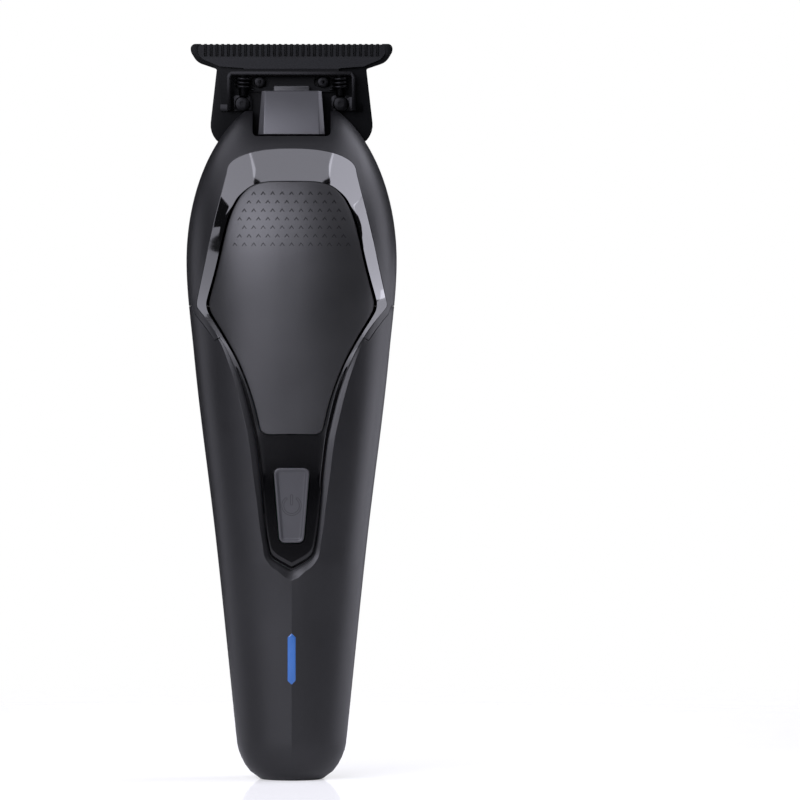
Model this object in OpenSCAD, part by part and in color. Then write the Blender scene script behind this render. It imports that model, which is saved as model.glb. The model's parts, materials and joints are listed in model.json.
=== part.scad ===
// Cordless T-blade hair trimmer, standing upright on its base.
// The origin is the centre of the base face, +Z runs up to the tooth tips and
// the front, with the button and the drive block, faces -Y.

/* [Body outline] */
// Height of the widest section of the head above the base
head_z = 112.5; // [108:0.5:118]
// Width of the widest section of the head
head_w = 45.7; // [44:0.1:50]
// Depth of the head in front of the cell
head_front_room = 10.25; // [10:0.05:12]
// Depth of the head behind the cell
head_back_room = 6.45; // [6:0.05:9]
// Height at which the grip starts to flare into the head
flare_z = 92; // [88:0.5:95]
// Width of the grip at the flare
flare_w = 42.4; // [41:0.1:44]
// Depth of the grip in front of the cell at the flare
flare_front_room = 9.25; // [9:0.05:10]
// Depth of the grip behind the cell at the flare
flare_back_room = 6.05; // [5.5:0.05:7.5]
// Height of the middle section of the grip
waist_z = 52; // [48:0.5:56]
// Width of the middle section of the grip
waist_w = 32.9; // [32:0.1:36]
// Depth of the middle section in front of the cell
waist_front_room = 6.65; // [6.5:0.05:8]
// Depth of the middle section behind the cell
waist_back_room = 4.45; // [4.2:0.05:6.5]
// Height of the lowest full section, above the rounded foot
base_z = 10; // [9:0.5:12]
// Width of the lowest full section
base_w = 24.2; // [23.6:0.1:28]
// Depth of the lowest full section in front of the cell
base_front_room = 4.65; // [4.4:0.05:6]
// Depth of the lowest full section behind the cell
base_back_room = 2.85; // [2.6:0.05:4.4]
// Height of the rounded foot
foot_h = 8; // [6:0.5:8.5]
// How far the rounded foot draws in the outline
foot_run = 4.9; // [3.5:0.1:5.2]
// Height of the half ellipse that closes the head, seen from the front
crown_h = 36.3; // [35.5:0.1:38]
// Height of the half ellipse that closes the head in front
brow_h = 33; // [33:0.1:35]
// Height of the half ellipse that closes the head behind
nape_h = 28; // [26:0.5:32]
// Top of the nose above the widest section
nose_rise = 32.5; // [32:0.1:32.8]
// Height of the ridge line down the front of the grip
keel_rise = 1.1; // [0.4:0.1:1.6]
// Height at which the ridge line runs out
keel_top = 47; // [42:1:50]

/* [Housings] */
// Wall of both housings
wall = 2.6; // [2.4:0.1:3]
// Height of the joint between the head and the grip
seam_z = 102.8; // [101:0.2:104]
// Gap between the two housings at the joint
seam_gap = 0.1; // [0.05:0.05:0.2]
// Height of the tongue that locates the head in the grip
tongue_h = 4; // [3:0.5:6]
// Wall of the tongue
tongue_t = 1.1; // [0.9:0.1:1.4]
// Thickness of the floor at the base
floor_t = 3; // [2.5:0.1:3.5]
// Thickness of the deck over the motor
deck_t = 2.9; // [2.4:0.1:3.2]

/* [Bezel and face plate] */
// Depth to which the bezel is let into the housings
bezel_t = 1.8; // [1.6:0.1:1.9]
// How far the bezel rises round the face plate; it is flush round the button
bezel_rise = 0.9; // [0.5:0.1:1.2]
// Tip of the bezel
bezel_bottom_z = 45.6; // [44:0.2:47]
// Top of the bezel
bezel_top_z = 136.4; // [135.5:0.1:136.6]
// Width of the bezel below the button
bezel_foot_w = 10.5; // [10:0.1:12]
// Width of the bezel where it starts to spread
bezel_neck_w = 17.7; // [17.4:0.1:19]
// Greatest width of the bezel
bezel_w = 41; // [39:0.1:41.5]
// Width of the bezel where its top rounds off
bezel_crown_w = 27.8; // [26:0.1:29]
// Bottom of the face plate
face_bottom_z = 74.9; // [73.5:0.1:76]
// Top of the face plate
face_top_z = 129.3; // [128.5:0.1:130]
// Greatest width of the face plate
face_w = 35.6; // [33:0.1:36.2]
// Width of the face plate at its foot
face_foot_w = 14; // [13:0.1:14.6]
// Width of the face plate near its top
face_crown_w = 17.4; // [16:0.1:18.4]
// Thickness of the face plate
face_t = 1; // [0.8:0.1:1.2]
// Gap round the bezel, the face plate, the lens and the base cap
trim_gap = 0.08; // [0.05:0.01:0.12]

/* [Power button] */
// Bottom of the button
button_bottom_z = 51.6; // [50.5:0.1:52.5]
// Top of the button
button_top_z = 67.7; // [66:0.1:69]
// Width of the button at its top
button_top_w = 7.8; // [7:0.1:8.4]
// Width of the button at its bottom
button_bottom_w = 5.2; // [4.8:0.1:6]
// Corner radius of the button
button_r = 1.3; // [0.8:0.1:1.6]
// Thickness of the button plate
button_t = 1.3; // [1:0.1:1.4]
// Diameter of the button stem
stem_d = 3.6; // [3:0.1:4]
// Running clearance round the stem
stem_gap = 0.08; // [0.05:0.01:0.1]
// Clearance round the button in the bezel
button_gap = 0.3; // [0.25:0.05:0.4]
// Travel of the button
button_travel = 0.5; // [0.3:0.05:0.6]

/* [Light] */
// Bottom of the light bar
lens_bottom_z = 21; // [19:0.1:22]
// Length of the light bar
lens_len = 11.1; // [9:0.1:12]
// Width of the light bar
lens_w = 1.74; // [1.4:0.02:2.2]

/* [Blade set] */
// Plane of the seat that carries the fixed blade
seat_y = 3; // [2.8:0.1:3.4]
// Reach of the tooth tips above the nose
blade_reach = 14.9; // [14:0.1:16]
// Width of the T of the fixed blade
blade_w = 44; // [42:0.1:48]
// Width of the neck under the T
blade_neck_w = 32.5; // [31:0.1:34]
// Greatest width of the wings of the fixed blade
blade_wing_w = 36.4; // [35.5:0.1:38]
// Thickness of the fixed blade
blade_t = 1.4; // [1.2:0.1:1.8]
// Thickness of the moving blade
cutter_t = 1; // [0.8:0.1:1.2]
// Running gap between the two blades
blade_gap = 0.05; // [0.03:0.01:0.08]
// Number of tooth gaps
tooth_count = 32; // [24:1:34]
// Width of the solid end of the T beside the teeth
horn_w = 2.32; // [2:0.02:3]
// Width of a tooth gap
tooth_gap = 0.6; // [0.45:0.05:0.7]
// Depth of a tooth gap
tooth_depth = 2.8; // [2.2:0.1:3.2]
// How far the moving teeth stay behind the fixed ones
tooth_setback = 0.6; // [0.4:0.1:1]
// Throw of the cutter to each side
cutter_throw = 0.9; // [0.6:0.05:1]

/* [Drive] */
// Distance of the motor axis in front of the body axis
drive_front = 2.5; // [2.2:0.1:2.8]
// Diameter of the motor can
motor_d = 20; // [19:0.1:20.4]
// Length of the motor can
motor_len = 26; // [22:0.5:26]
// Thickness of the motor can
can_t = 0.9; // [0.6:0.1:1.2]
// Diameter of the motor shaft
shaft_d = 2; // [1.8:0.1:2.4]
// Running clearance of the shaft and the cam pin, on the radius
shaft_gap = 0.03; // [0.02:0.01:0.08]
// Diameter of the cam pin
pin_d = 2; // [1.8:0.1:2.2]
// Outer diameter of the sleeve on the cam pin
sleeve_d = 3.4; // [3.2:0.1:3.6]
// Diameter of the cam hub
hub_d = 9.6; // [9:0.1:10]
// Width of the drive block at its front
block_w = 12.2; // [11.8:0.1:12.6]
// Height of the drive block
block_h = 9.6; // [9:0.1:10]
// Clearance of the drive block in its slot
block_gap = 0.35; // [0.25:0.05:0.4]

/* [Power and charging] */
// Diameter of the cell
cell_d = 18.3; // [17.5:0.1:18.4]
// Length of the cell
cell_len = 50; // [46:0.5:51]
// Underside of the cell above the base
cell_z = 36.5; // [36:0.1:38]
// Distance of the cell behind the body axis
cell_back = 1.4; // [1.2:0.1:1.6]
// Clearance round the cell
cell_gap = 0.2; // [0.1:0.05:0.3]
// Width of the main board
board_w = 12.6; // [11:0.1:13]
// Thickness of the boards
board_t = 1.2; // [0.8:0.1:1.4]
// Width of the charging socket
socket_w = 8.94; // [8.9:0.01:9]
// Height of the charging socket
socket_h = 3.26; // [3.2:0.01:3.3]
// Diameter of a dock contact
contact_d = 3; // [2.4:0.1:3.2]
// Distance between the dock contacts
contact_pitch = 5.6; // [5:0.1:6]

/* [Small parts] */
// Diameter of the small screws inside
screw_d = 1.6; // [1.4:0.1:1.8]
// Diameter of their heads
screw_head_d = 2.8; // [2.4:0.1:3]
// Diameter of the two screws that hold the fixed blade
blade_screw_d = 2; // [1.8:0.1:2.4]
// Diameter of the heads of those screws
blade_screw_head_d = 4; // [3.4:0.1:4.4]
// Diameter of the two screws of the spring bracket
bracket_screw_d = 1.8; // [1.6:0.1:2]
// Width of the spring bracket
bracket_w = 28; // [27:0.5:29]
// Diameter of the wire of the springs
spring_wire = 0.6; // [0.5:0.05:0.7]
// Radius of the coils, to the middle of the wire
spring_r = 1.5; // [1.4:0.1:1.6]
// Diameter of the guide pins
guide_d = 2; // [1.8:0.1:2.2]
// Width of the switch
switch_w = 6; // [5:0.5:6.5]
// Thickness of the switch
switch_t = 2; // [1.6:0.1:2.2]
// Diameter of the leads
lead_d = 1.1; // [0.8:0.1:1.3]

/* [Hidden] */
$fn = 48;

// Longer than any cut through the body
far = 60;
// Overlap of shapes that are fused, and overrun of cuts
lap = 0.4;
// Play of a screw in its thread and in a plain hole
thread_play = 0.05;
hole_play = 0.2;

// ---- Body surface ----
// Power of the superellipse that every level section follows
section_power = 2.3;
// Power of the curve of the rounded foot
foot_power = 1.75;
// Depth of the nose behind the axis before the blade seat is cut
nape_depth = 8.5;
// Points round each section
ring_n = 36;

nose_z = head_z + nose_rise;
heights = [base_z, waist_z, flare_z, head_z];
half_widths = [base_w, waist_w, flare_w, head_w] / 2;
// The body is as deep as the cell and the room kept before and behind it
cell_y = cell_back;
cell_front_reach = cell_d / 2 - cell_y;
cell_back_reach = cell_d / 2 + cell_y;
front_depths = [for (room = [base_front_room, waist_front_room, flare_front_room, head_front_room])
    cell_front_reach + room];
back_depths = [for (room = [base_back_room, waist_back_room, flare_back_room, head_back_room])
    cell_back_reach + room];

// Cubic from value a with slope sa to value b with slope sb over a length h
function hermite(t, h, a, sa, b, sb) =
    (2 * pow(t, 3) - 3 * pow(t, 2) + 1) * a
    + (pow(t, 3) - 2 * pow(t, 2) + t) * h * sa
    + (3 * pow(t, 2) - 2 * pow(t, 3)) * b
    + (pow(t, 3) - pow(t, 2)) * h * sb;

// Slopes of a body profile at its four named heights
function step(i) = heights[i + 1] - heights[i];
function rise(v, i) = (v[i + 1] - v[i]) / step(i);
function slope(v, i) =
    i == 0 ? rise(v, 0)
    : i == 3 ? 0
    : (rise(v, i - 1) * step(i) + rise(v, i) * step(i - 1)) / (step(i - 1) + step(i));

// Grip: a smooth curve through the named sections, straight below the lowest
function grip_profile(v, z) =
    z < base_z ? v[0] + rise(v, 0) * (z - base_z)
    : let(i = z < waist_z ? 0 : z < flare_z ? 1 : 2)
        hermite((z - heights[i]) / step(i), step(i), v[i], slope(v, i), v[i + 1], slope(v, i + 1));
// Head: a half ellipse of height dome_h above the widest section
function profile(v, dome_h, z) =
    z > head_z ? v[3] * sqrt(max(0, 1 - pow((z - head_z) / dome_h, 2))) : grip_profile(v, z);
// Draw-in of the rounded foot
function foot(z) =
    z >= foot_h ? 0
    : foot_run * (1 - pow(1 - pow(1 - z / foot_h, foot_power), 1 / foot_power));

function half_w(z) = profile(half_widths, crown_h, z) - foot(z);
function front_d(z) = profile(front_depths, brow_h, z) - foot(z);
function back_d(z) =
    max(profile(back_depths, nape_h, z), z > head_z ? nape_depth : 0) - foot(z);
// The ridge fades out over a length below keel_top
keel_fade = 12;
function keel(z) = keel_rise * max(0, min(1, (keel_top - z) / keel_fade));

// Front of the body at a point, drawn in by inset
function front_y(x, z, inset = 0) =
    let(u = min(1, abs(x) / (half_w(z) - inset)), k = keel(z))
        -(front_d(z) - inset - k) * pow(1 - pow(u, section_power), 1 / section_power)
        - k * (1 - u);
function rounded(c) = sign(c) * pow(abs(c), 2 / section_power);
function section(z, inset) = [
    for (i = [0:ring_n - 1])
        let(a = 360 * i / ring_n, x = (half_w(z) - inset) * rounded(cos(a)))
            [x, a > 180 ? front_y(x, z, inset) : (back_d(z) - inset) * rounded(sin(a)), z]];

// Heights of the rings of the body surface
crown_angle = asin(nose_rise / crown_h);
body_rows = concat(
    [for (i = [0:4]) foot_h * pow(i / 5, 2)],
    [for (i = [0:11]) foot_h + (seam_z - foot_h) * i / 12],
    [for (i = [0:2]) seam_z + (head_z - seam_z) * i / 3],
    [for (i = [0:7]) head_z + crown_h * sin(crown_angle * i / 7)]);
function rows_between(low, high) =
    concat([low], [for (z = body_rows) if (z > low + lap && z < high - lap) z], [high]);

// Closed solid through rings of the same, even, point count. Each end is closed
// by a strip of quads between the two halves of its ring.
module rings_solid(rings) {
    n = len(rings[0]);
    last = (len(rings) - 1) * n;
    polyhedron(
        points = [for (r = rings) each r],
        faces = concat(
            [for (i = [0:n / 2 - 2]) [i, i + 1, n - 2 - i, n - 1 - i]],
            [for (i = [0:n / 2 - 2]) [last + n - 1 - i, last + n - 2 - i, last + i + 1, last + i]],
            [for (r = [0:len(rings) - 2], i = [0:n - 1])
                let(a = r * n + i, b = r * n + (i + 1) % n)
                    each [[a, a + n, b + n], [a, b + n, b]]]));
}

module body_solid(low, high, inset = 0) {
    rings_solid([for (z = rows_between(low, high)) section(z, inset)]);
}

// Carries an outline drawn in x and z forward from y, for a length t
module upright(y, t) {
    translate([0, y, 0]) rotate([90, 0, 0]) linear_extrude(t) children();
}

// A bar or bore along y, from y forward for a length t
module y_bar(x, y, z, d, t) {
    translate([x, y, z]) rotate([90, 0, 0]) cylinder(d = d, h = t);
}

// ---- Bezel and face plate outlines ----
bezel_foot_z = 50.7;
bezel_neck_z = 77.9;
bezel_wide_z = 103;
bezel_crown_z = 131.3;
crown_power = 2.27;
bezel_track = [
    [bezel_bottom_z, 0.3, 2.2],
    [bezel_foot_z, bezel_foot_w / 2, 0.14],
    [bezel_neck_z, bezel_neck_w / 2, 0.2],
    [bezel_wide_z - 1, bezel_w / 2 - 0.2, 0.7],
    [bezel_wide_z + 0.6, bezel_w / 2 - 0.1, -0.1],
    [bezel_crown_z, bezel_crown_w / 2, -0.36]];
face_neck_z = 77.9;
face_crown_z = 127.9;
face_side_w = 27.2;
face_side_z = 120.2;
face_track = [
    [face_bottom_z, face_foot_w / 2 - 2, 3],
    [face_bottom_z + 1.6, face_foot_w / 2 - 0.2, 0.3],
    [face_neck_z, face_foot_w / 2 + 0.2, 0.24],
    [bezel_wide_z - 1.6, face_w / 2 - 0.4, 0.7],
    [bezel_wide_z + 0.4, face_w / 2, -0.15],
    [face_side_z, face_side_w / 2, -0.35],
    [face_crown_z, face_crown_w / 2, -1.1],
    [face_top_z, face_crown_w / 2 - 2.7, -3]];

// Half width of an outline at height z
function track(s, z) =
    let(i = max([for (k = [0:len(s) - 2]) if (z >= s[k][0] || k == 0) k]), h = s[i + 1][0] - s[i][0])
        hermite((z - s[i][0]) / h, h, s[i][1], s[i][2], s[i + 1][1], s[i + 1][2]);
function bezel_half(z) =
    z < bezel_crown_z ? track(bezel_track, z)
    : bezel_crown_w / 2 * pow(
        1 - pow((z - bezel_crown_z) / (bezel_top_z - bezel_crown_z), crown_power), 1 / crown_power);
function face_half(z) = track(face_track, z);

bezel_rows = concat(
    [for (i = [0:3]) bezel_bottom_z + (bezel_foot_z - bezel_bottom_z) * i / 4],
    [for (i = [0:3]) bezel_foot_z + (bezel_neck_z - bezel_foot_z) * i / 4],
    [for (i = [0:5]) bezel_neck_z + (bezel_wide_z - 1 - bezel_neck_z) * i / 6],
    [bezel_wide_z - 1, bezel_wide_z - 0.2, bezel_wide_z + 0.6],
    [for (i = [1:5]) bezel_wide_z + 0.6 + (bezel_crown_z - bezel_wide_z - 0.6) * i / 6],
    [for (i = [0:6]) bezel_crown_z + (bezel_top_z - bezel_crown_z) * sin(86 * i / 6)]);
face_rows = concat(
    [face_bottom_z, face_bottom_z + 0.4, face_bottom_z + 1.6],
    [for (i = [0:5]) face_neck_z + (bezel_wide_z - 1.6 - face_neck_z) * i / 6],
    [bezel_wide_z - 1.6, bezel_wide_z - 0.6, bezel_wide_z + 0.4],
    [for (i = [1:3]) bezel_wide_z + 0.4 + (face_side_z - bezel_wide_z - 0.4) * i / 4],
    [for (i = [0:3]) face_side_z + (face_crown_z - face_side_z) * i / 4],
    [face_crown_z, (face_crown_z + face_top_z) / 2, face_top_z]);

module bezel_outline() {
    n = len(bezel_rows);
    polygon(concat(
        [for (z = bezel_rows) [bezel_half(z), z]],
        [for (i = [n - 1:-1:0]) [-bezel_half(bezel_rows[i]), bezel_rows[i]]]));
}

// Rise of the bezel above the body: none up to the top of the button, full at
// the widest part of the face plate, and none at its edge
crest_low_z = 64;
crest_full_z = 98;
bezel_side_band = 2.7;
bezel_end_band = 6;
function crest(z) =
    let(t = max(0, min(1, (z - crest_low_z) / (crest_full_z - crest_low_z))))
        bezel_rise * t * t * (3 - 2 * t);
function bezel_lift(x, z) =
    crest(z) * max(0, min(1, (bezel_half(z) - abs(x)) / bezel_side_band,
        (bezel_top_z - z) / bezel_end_band));

// Columns across a row of the bezel or the face plate
cols = [-1, -0.87, -0.6, -0.3, 0, 0.3, 0.6, 0.87, 1];
function across(half) = [for (u = cols) u * half];
function back_across(half) = [for (i = [len(cols) - 1:-1:0]) cols[i] * half];

// ---- Power button ----
button_z = (button_bottom_z + button_top_z) / 2;
button_h = button_top_z - button_bottom_z;
button_rise = 0.3;
button_tilt = atan((front_d(button_top_z) - front_d(button_bottom_z)) / button_h);
button_face_y = -front_d(button_z) - button_rise;
button_rim = 0.75;
button_dish = 0.25;
seal_d = stem_d + 2.4;
// Depth of the front of the seal, clear of the button at full press
seal_depth = button_t - button_rise + button_travel + seal_d / 2 * tan(button_tilt) + 0.1;
module button_outline(grow = 0) {
    offset(r = button_r + grow) offset(delta = -button_r)
        polygon([[-button_bottom_w / 2, -button_h / 2], [button_bottom_w / 2, -button_h / 2],
            [button_top_w / 2, button_h / 2], [-button_top_w / 2, button_h / 2]]);
}

// ---- Drive ----
drive_y = -drive_front;
block_z = nose_z - 5.4;
block_top_z = block_z + block_h;
// How much wider the block is at its back than at its front, on each side
block_flare = 1.1;
slot_floor_z = block_z - block_gap;
deck_z = slot_floor_z - deck_t;
hub_h = 4.2;
hub_top_z = deck_z - 1.1;
hub_z = hub_top_z - hub_h;
plate_t = 1.4;
plate_top_z = hub_z - 0.8;
motor_top_z = plate_top_z - plate_t;
motor_z = motor_top_z - motor_len;
bush_d = 5;
bush_len = 3;
pin_top_z = nose_z + 0.8;
sleeve_z = slot_floor_z + 0.8;
sleeve_h = pin_top_z - 0.4 - sleeve_z;
plate_ear_x = 13.5;
post_d = 5;

// ---- Power ----
cell_top_z = cell_z + cell_len;
cradle_t = 0.8;
bulkhead_t = 1.5;
tab_t = 0.25;
board_back_y = cell_y - cell_d / 2 - tab_t;
board_front_y = board_back_y - board_t;
board_z = cell_z - 2.6;
board_top_z = cell_top_z + 4.5;
switch_y = board_front_y - switch_t;
socket_len = 9;
socket_y = -2.6;
port_board_z = 0.6 + socket_len;
contact_y = 2.6;

// ---- Base ----
cap_half_w = 6.4;
cap_half_d = 7;
cap_post_x = 4.9;
cap_post_y = 4.5;
cap_post_d = 1.6;
cap_flange_t = 1.2;

// ---- Blade set ----
tip_z = nose_z + blade_reach;
tooth_pitch = (blade_w - 2 * horn_w - tooth_gap) / (tooth_count - 1);
cutter_y = seat_y - blade_gap;
cutter_front_y = cutter_y - cutter_t;
blade_screw_x = 11;
blade_screw_head_t = 1.2;
blade_screw_z = nose_z - 3.8;
bracket_screw_z = nose_z + 1.7;
guide_x = 6.9;
guide_z = nose_z + 6.5;
guide_gap = 0.05;
pad_z = nose_z + 0.2;
pad_top_z = nose_z + 3.6;
peg_x = 3.2;
peg_z = nose_z + 3.6;
peg_d = 1.5;

// ---- Cuts shared by the two housings ----
// Margin of the head round the bezel, and the height where it runs out
seam_margin = 1.3;
seam_dip_z = 95.8;
module head_zone(grow = 0) {
    translate([-far, -far, seam_z - grow]) cube([2 * far, 2 * far, 2 * far]);
    upright(0, far) intersection() {
        offset(delta = seam_margin + grow) bezel_outline();
        translate([-far, seam_dip_z - grow]) square([2 * far, far]);
    }
}
module bezel_pocket(low, high) {
    difference() {
        upright(0, far) offset(delta = trim_gap) bezel_outline();
        body_solid(low, high, bezel_t);
    }
}

// ---- Housings ----
head_low_z = seam_dip_z - 4;
slot_half_w = block_w / 2 + block_flare + cutter_throw + block_gap;
slot_r = 3 * block_gap;
// Room round the way of the cam pin
pin_way = 0.6;
module head_housing() color("#47474c") {
    difference() {
        union() {
            difference() {
                intersection() {
                    body_solid(head_low_z, nose_z);
                    head_zone();
                }
                body_solid(head_low_z - 1, deck_z, wall);
            }
            // Posts for the motor plate
            for (s = [-1, 1])
                translate([s * plate_ear_x, drive_y, plate_top_z])
                    cylinder(d = post_d, h = deck_z - plate_top_z + lap);
        }
        bezel_pocket(head_low_z - 1, nose_z + 1);
        // Seat of the fixed blade at the back of the nose
        translate([-far, seat_y, blade_bottom_z - block_gap]) cube([2 * far, far, far]);
        // Slot of the drive block, with rounded lower corners
        upright(seat_y + lap, far) hull() {
            for (s = [-1, 1])
                translate([s * (slot_half_w - slot_r), slot_floor_z + slot_r]) circle(r = slot_r);
            translate([-slot_half_w, nose_z]) square([2 * slot_half_w, 1]);
        }
        // Way of the cam pin through the deck
        translate([0, drive_y, deck_z - 1])
            cylinder(r = pin_d / 2 + cutter_throw + pin_way, h = deck_t + 2);
        for (s = [-1, 1]) {
            y_bar(s * blade_screw_x, seat_y + 1, blade_screw_z, blade_screw_d + thread_play, 7);
            translate([s * plate_ear_x, drive_y, plate_top_z - 1])
                cylinder(d = screw_d + thread_play, h = 5);
        }
    }
    // Tongue that locates the head in the grip
    difference() {
        union() {
            body_solid(seam_z - tongue_h, seam_z + 0.5, wall + seam_gap);
            body_solid(seam_z + 0.2, seam_z + 2, wall - 0.6);
        }
        body_solid(seam_z - tongue_h - 1, seam_z + 3, wall + seam_gap + tongue_t);
    }
}

grip_post_x = 9.9;
grip_post_d = 4;
grip_post_z = 27;
module grip_housing() color("#3f3f44") {
    difference() {
        union() {
            difference() {
                body_solid(0, seam_z - seam_gap);
                body_solid(floor_t, seam_z + 1, wall);
            }
            // Posts that carry the chassis
            intersection() {
                for (s = [-1, 1])
                    translate([s * grip_post_x, 0, grip_post_z])
                        cylinder(d = grip_post_d, h = chassis_z - grip_post_z);
                body_solid(grip_post_z - 1, chassis_z + 1, wall - lap);
            }
        }
        head_zone(seam_gap);
        bezel_pocket(bezel_bottom_z - 4, seam_z + 1);
        // Bore of the button seal
        y_bar(0, 0, button_z, seal_d, far);
        upright(0, far) offset(delta = trim_gap) lens_outline();
        // Opening of the base
        translate([0, 0, -1]) linear_extrude(floor_t + 2) base_outline(0);
        for (s = [-1, 1])
            translate([s * grip_post_x, 0, chassis_z - 5]) cylinder(d = screw_d + thread_play, h = 6);
    }
}

// Opening of the base, and the cap drawn in by a gap
module base_outline(gap) {
    polygon([for (i = [0:ring_n - 1]) let(a = 360 * i / ring_n)
        [(cap_half_w - gap) * rounded(cos(a)), (cap_half_d - gap) * rounded(sin(a))]]);
}

module lens_outline() {
    tip = lens_w / 2;
    polygon([[0, lens_bottom_z], [tip, lens_bottom_z + tip], [tip, lens_bottom_z + lens_len - tip],
        [0, lens_bottom_z + lens_len], [-tip, lens_bottom_z + lens_len - tip],
        [-tip, lens_bottom_z + tip]]);
}

// ---- Front trim ----
module bezel() color("#101014") {
    difference() {
        rings_solid([for (z = bezel_rows) let(h = bezel_half(z)) concat(
            [for (x = across(h)) [x, front_y(x, z) - bezel_lift(x, z), z]],
            [for (x = back_across(h)) [x, -1, z]])]);
        body_solid(bezel_bottom_z - 5, nose_z, bezel_t - trim_gap);
        // Recess of the face plate
        face_slab(trim_gap, far);
        face_pegs(trim_gap);
        // Opening of the button
        upright(0, far) translate([0, button_z]) button_outline(button_gap);
    }
}

// The face plate lies a little below the crest of the bezel
face_sink = 0.15;
module face_slab(grow, over) {
    rings_solid([for (i = [0:len(face_rows) - 1])
        let(end = i == 0 ? -1 : i == len(face_rows) - 1 ? 1 : 0, z = face_rows[i],
            h = face_half(z) + grow)
        concat(
            [for (x = across(h)) [x, front_y(x, z) - crest(z) + face_sink - over, z + end * grow]],
            [for (x = back_across(h))
                [x, front_y(x, z) - crest(z) + face_sink + face_t + grow, z + end * grow]])]);
}
// Pegs that locate the face plate in the bezel
face_peg_d = 1.6;
face_peg_t = 0.8;
face_peg_heights = [face_bottom_z + 8, face_top_z - 8];
module face_pegs(grow) {
    t = face_peg_t + grow;
    for (z = face_peg_heights)
        y_bar(0, -front_d(z) - crest(z) + face_sink + face_t + t, z, face_peg_d + 2 * grow, t + face_t / 2);
}
module face_plate() color("#55555a") {
    face_slab(0, 0);
    face_pegs(0);
}

module power_button() color("#4a4a4e") {
    difference() {
        translate([0, button_face_y, button_z]) rotate([90 + button_tilt, 0, 0])
            translate([0, 0, -button_t]) linear_extrude(button_t) button_outline();
        // Dished middle inside a rim
        translate([0, button_face_y, button_z]) rotate([90 + button_tilt, 0, 0])
            translate([0, 0, -button_dish]) linear_extrude(1) button_outline(-button_rim);
    }
    // Stem that reaches to the switch
    stem_y = switch_y - button_travel;
    y_bar(0, stem_y, button_z, stem_d, stem_y - button_face_y - button_t + lap / 2 + lap);
}

module button_seal() color("#202022")
    difference() {
        y_bar(0, -front_d(button_z) + wall, button_z, seal_d, wall - seal_depth);
        y_bar(0, 0, button_z, stem_d + 2 * stem_gap, far);
    }

guide_w = 0.8 * lens_w;
guide_t = 0.52;
led_t = 0.8;
module led_lens() color("#3a78c8") {
    intersection() {
        upright(-front_d(lens_bottom_z) + wall + lap, far) lens_outline();
        body_solid(lens_bottom_z - 6, lens_bottom_z + lens_len + 6);
    }
    // Light guide that climbs to the lamp on the board
    guide_low = lens_bottom_z + lens_len - 3;
    translate([-guide_w / 2, board_front_y - led_t - 0.1 - guide_t, guide_low])
        cube([guide_w, guide_t, board_z + 2 - guide_low]);
}

// ---- Base ----
module base_cap() color("#2c2c30") {
    difference() {
        union() {
            intersection() {
                body_solid(0, floor_t + 3);
                linear_extrude(floor_t + lap) base_outline(trim_gap);
            }
            // Flange that rests on the floor and follows the inner wall
            translate([0, 0, floor_t]) linear_extrude(cap_flange_t)
                polygon([for (p = section(floor_t, wall + trim_gap)) [p[0], p[1]]]);
            for (s = [-1, 1], t = [-1, 1])
                translate([s * cap_post_x, t * cap_post_y, floor_t])
                    cylinder(d = cap_post_d, h = port_board_z - floor_t);
        }
        translate([0, socket_y, -1]) linear_extrude(floor_t + cap_flange_t + 2) stadium(0.15);
        for (s = [-1, 1])
            translate([s * contact_pitch / 2, contact_y, -1])
                cylinder(d = contact_d + 0.1, h = floor_t + cap_flange_t + 2);
    }
}

module dock_contacts() color("#c8a050")
    for (s = [-1, 1])
        translate([s * contact_pitch / 2, contact_y, 0]) {
            translate([0, 0, 0.1]) cylinder(d = contact_d, h = floor_t + cap_flange_t);
            translate([0, 0, floor_t + cap_flange_t])
                cylinder(d = contact_d + 0.9, h = 0.8);
            translate([0, 0, floor_t + cap_flange_t])
                cylinder(d = 1.2, h = port_board_z - floor_t - cap_flange_t);
        }

// Outline of the charging socket, a slot with round ends
module stadium(grow) {
    offset(r = socket_h / 2 + grow)
        square([socket_w - socket_h, tiny], center = true);
}
tiny = 0.01;
shell_t = 0.3;
module charge_socket() color("#b8b8bc")
    translate([0, socket_y, 0.6]) {
        difference() {
            linear_extrude(socket_len) stadium(0);
            translate([0, 0, -1]) linear_extrude(socket_len - 1) stadium(-shell_t);
        }
        translate([-3.3, -0.35, 1.2]) cube([6.6, 0.7, socket_len - 1.5]);
    }

port_board_gap = 0.3;
module port_board() color("#1e5038")
    translate([0, 0, port_board_z]) linear_extrude(board_t)
        polygon([for (p = section(port_board_z, wall + port_board_gap)) [p[0], p[1]]]);

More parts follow.
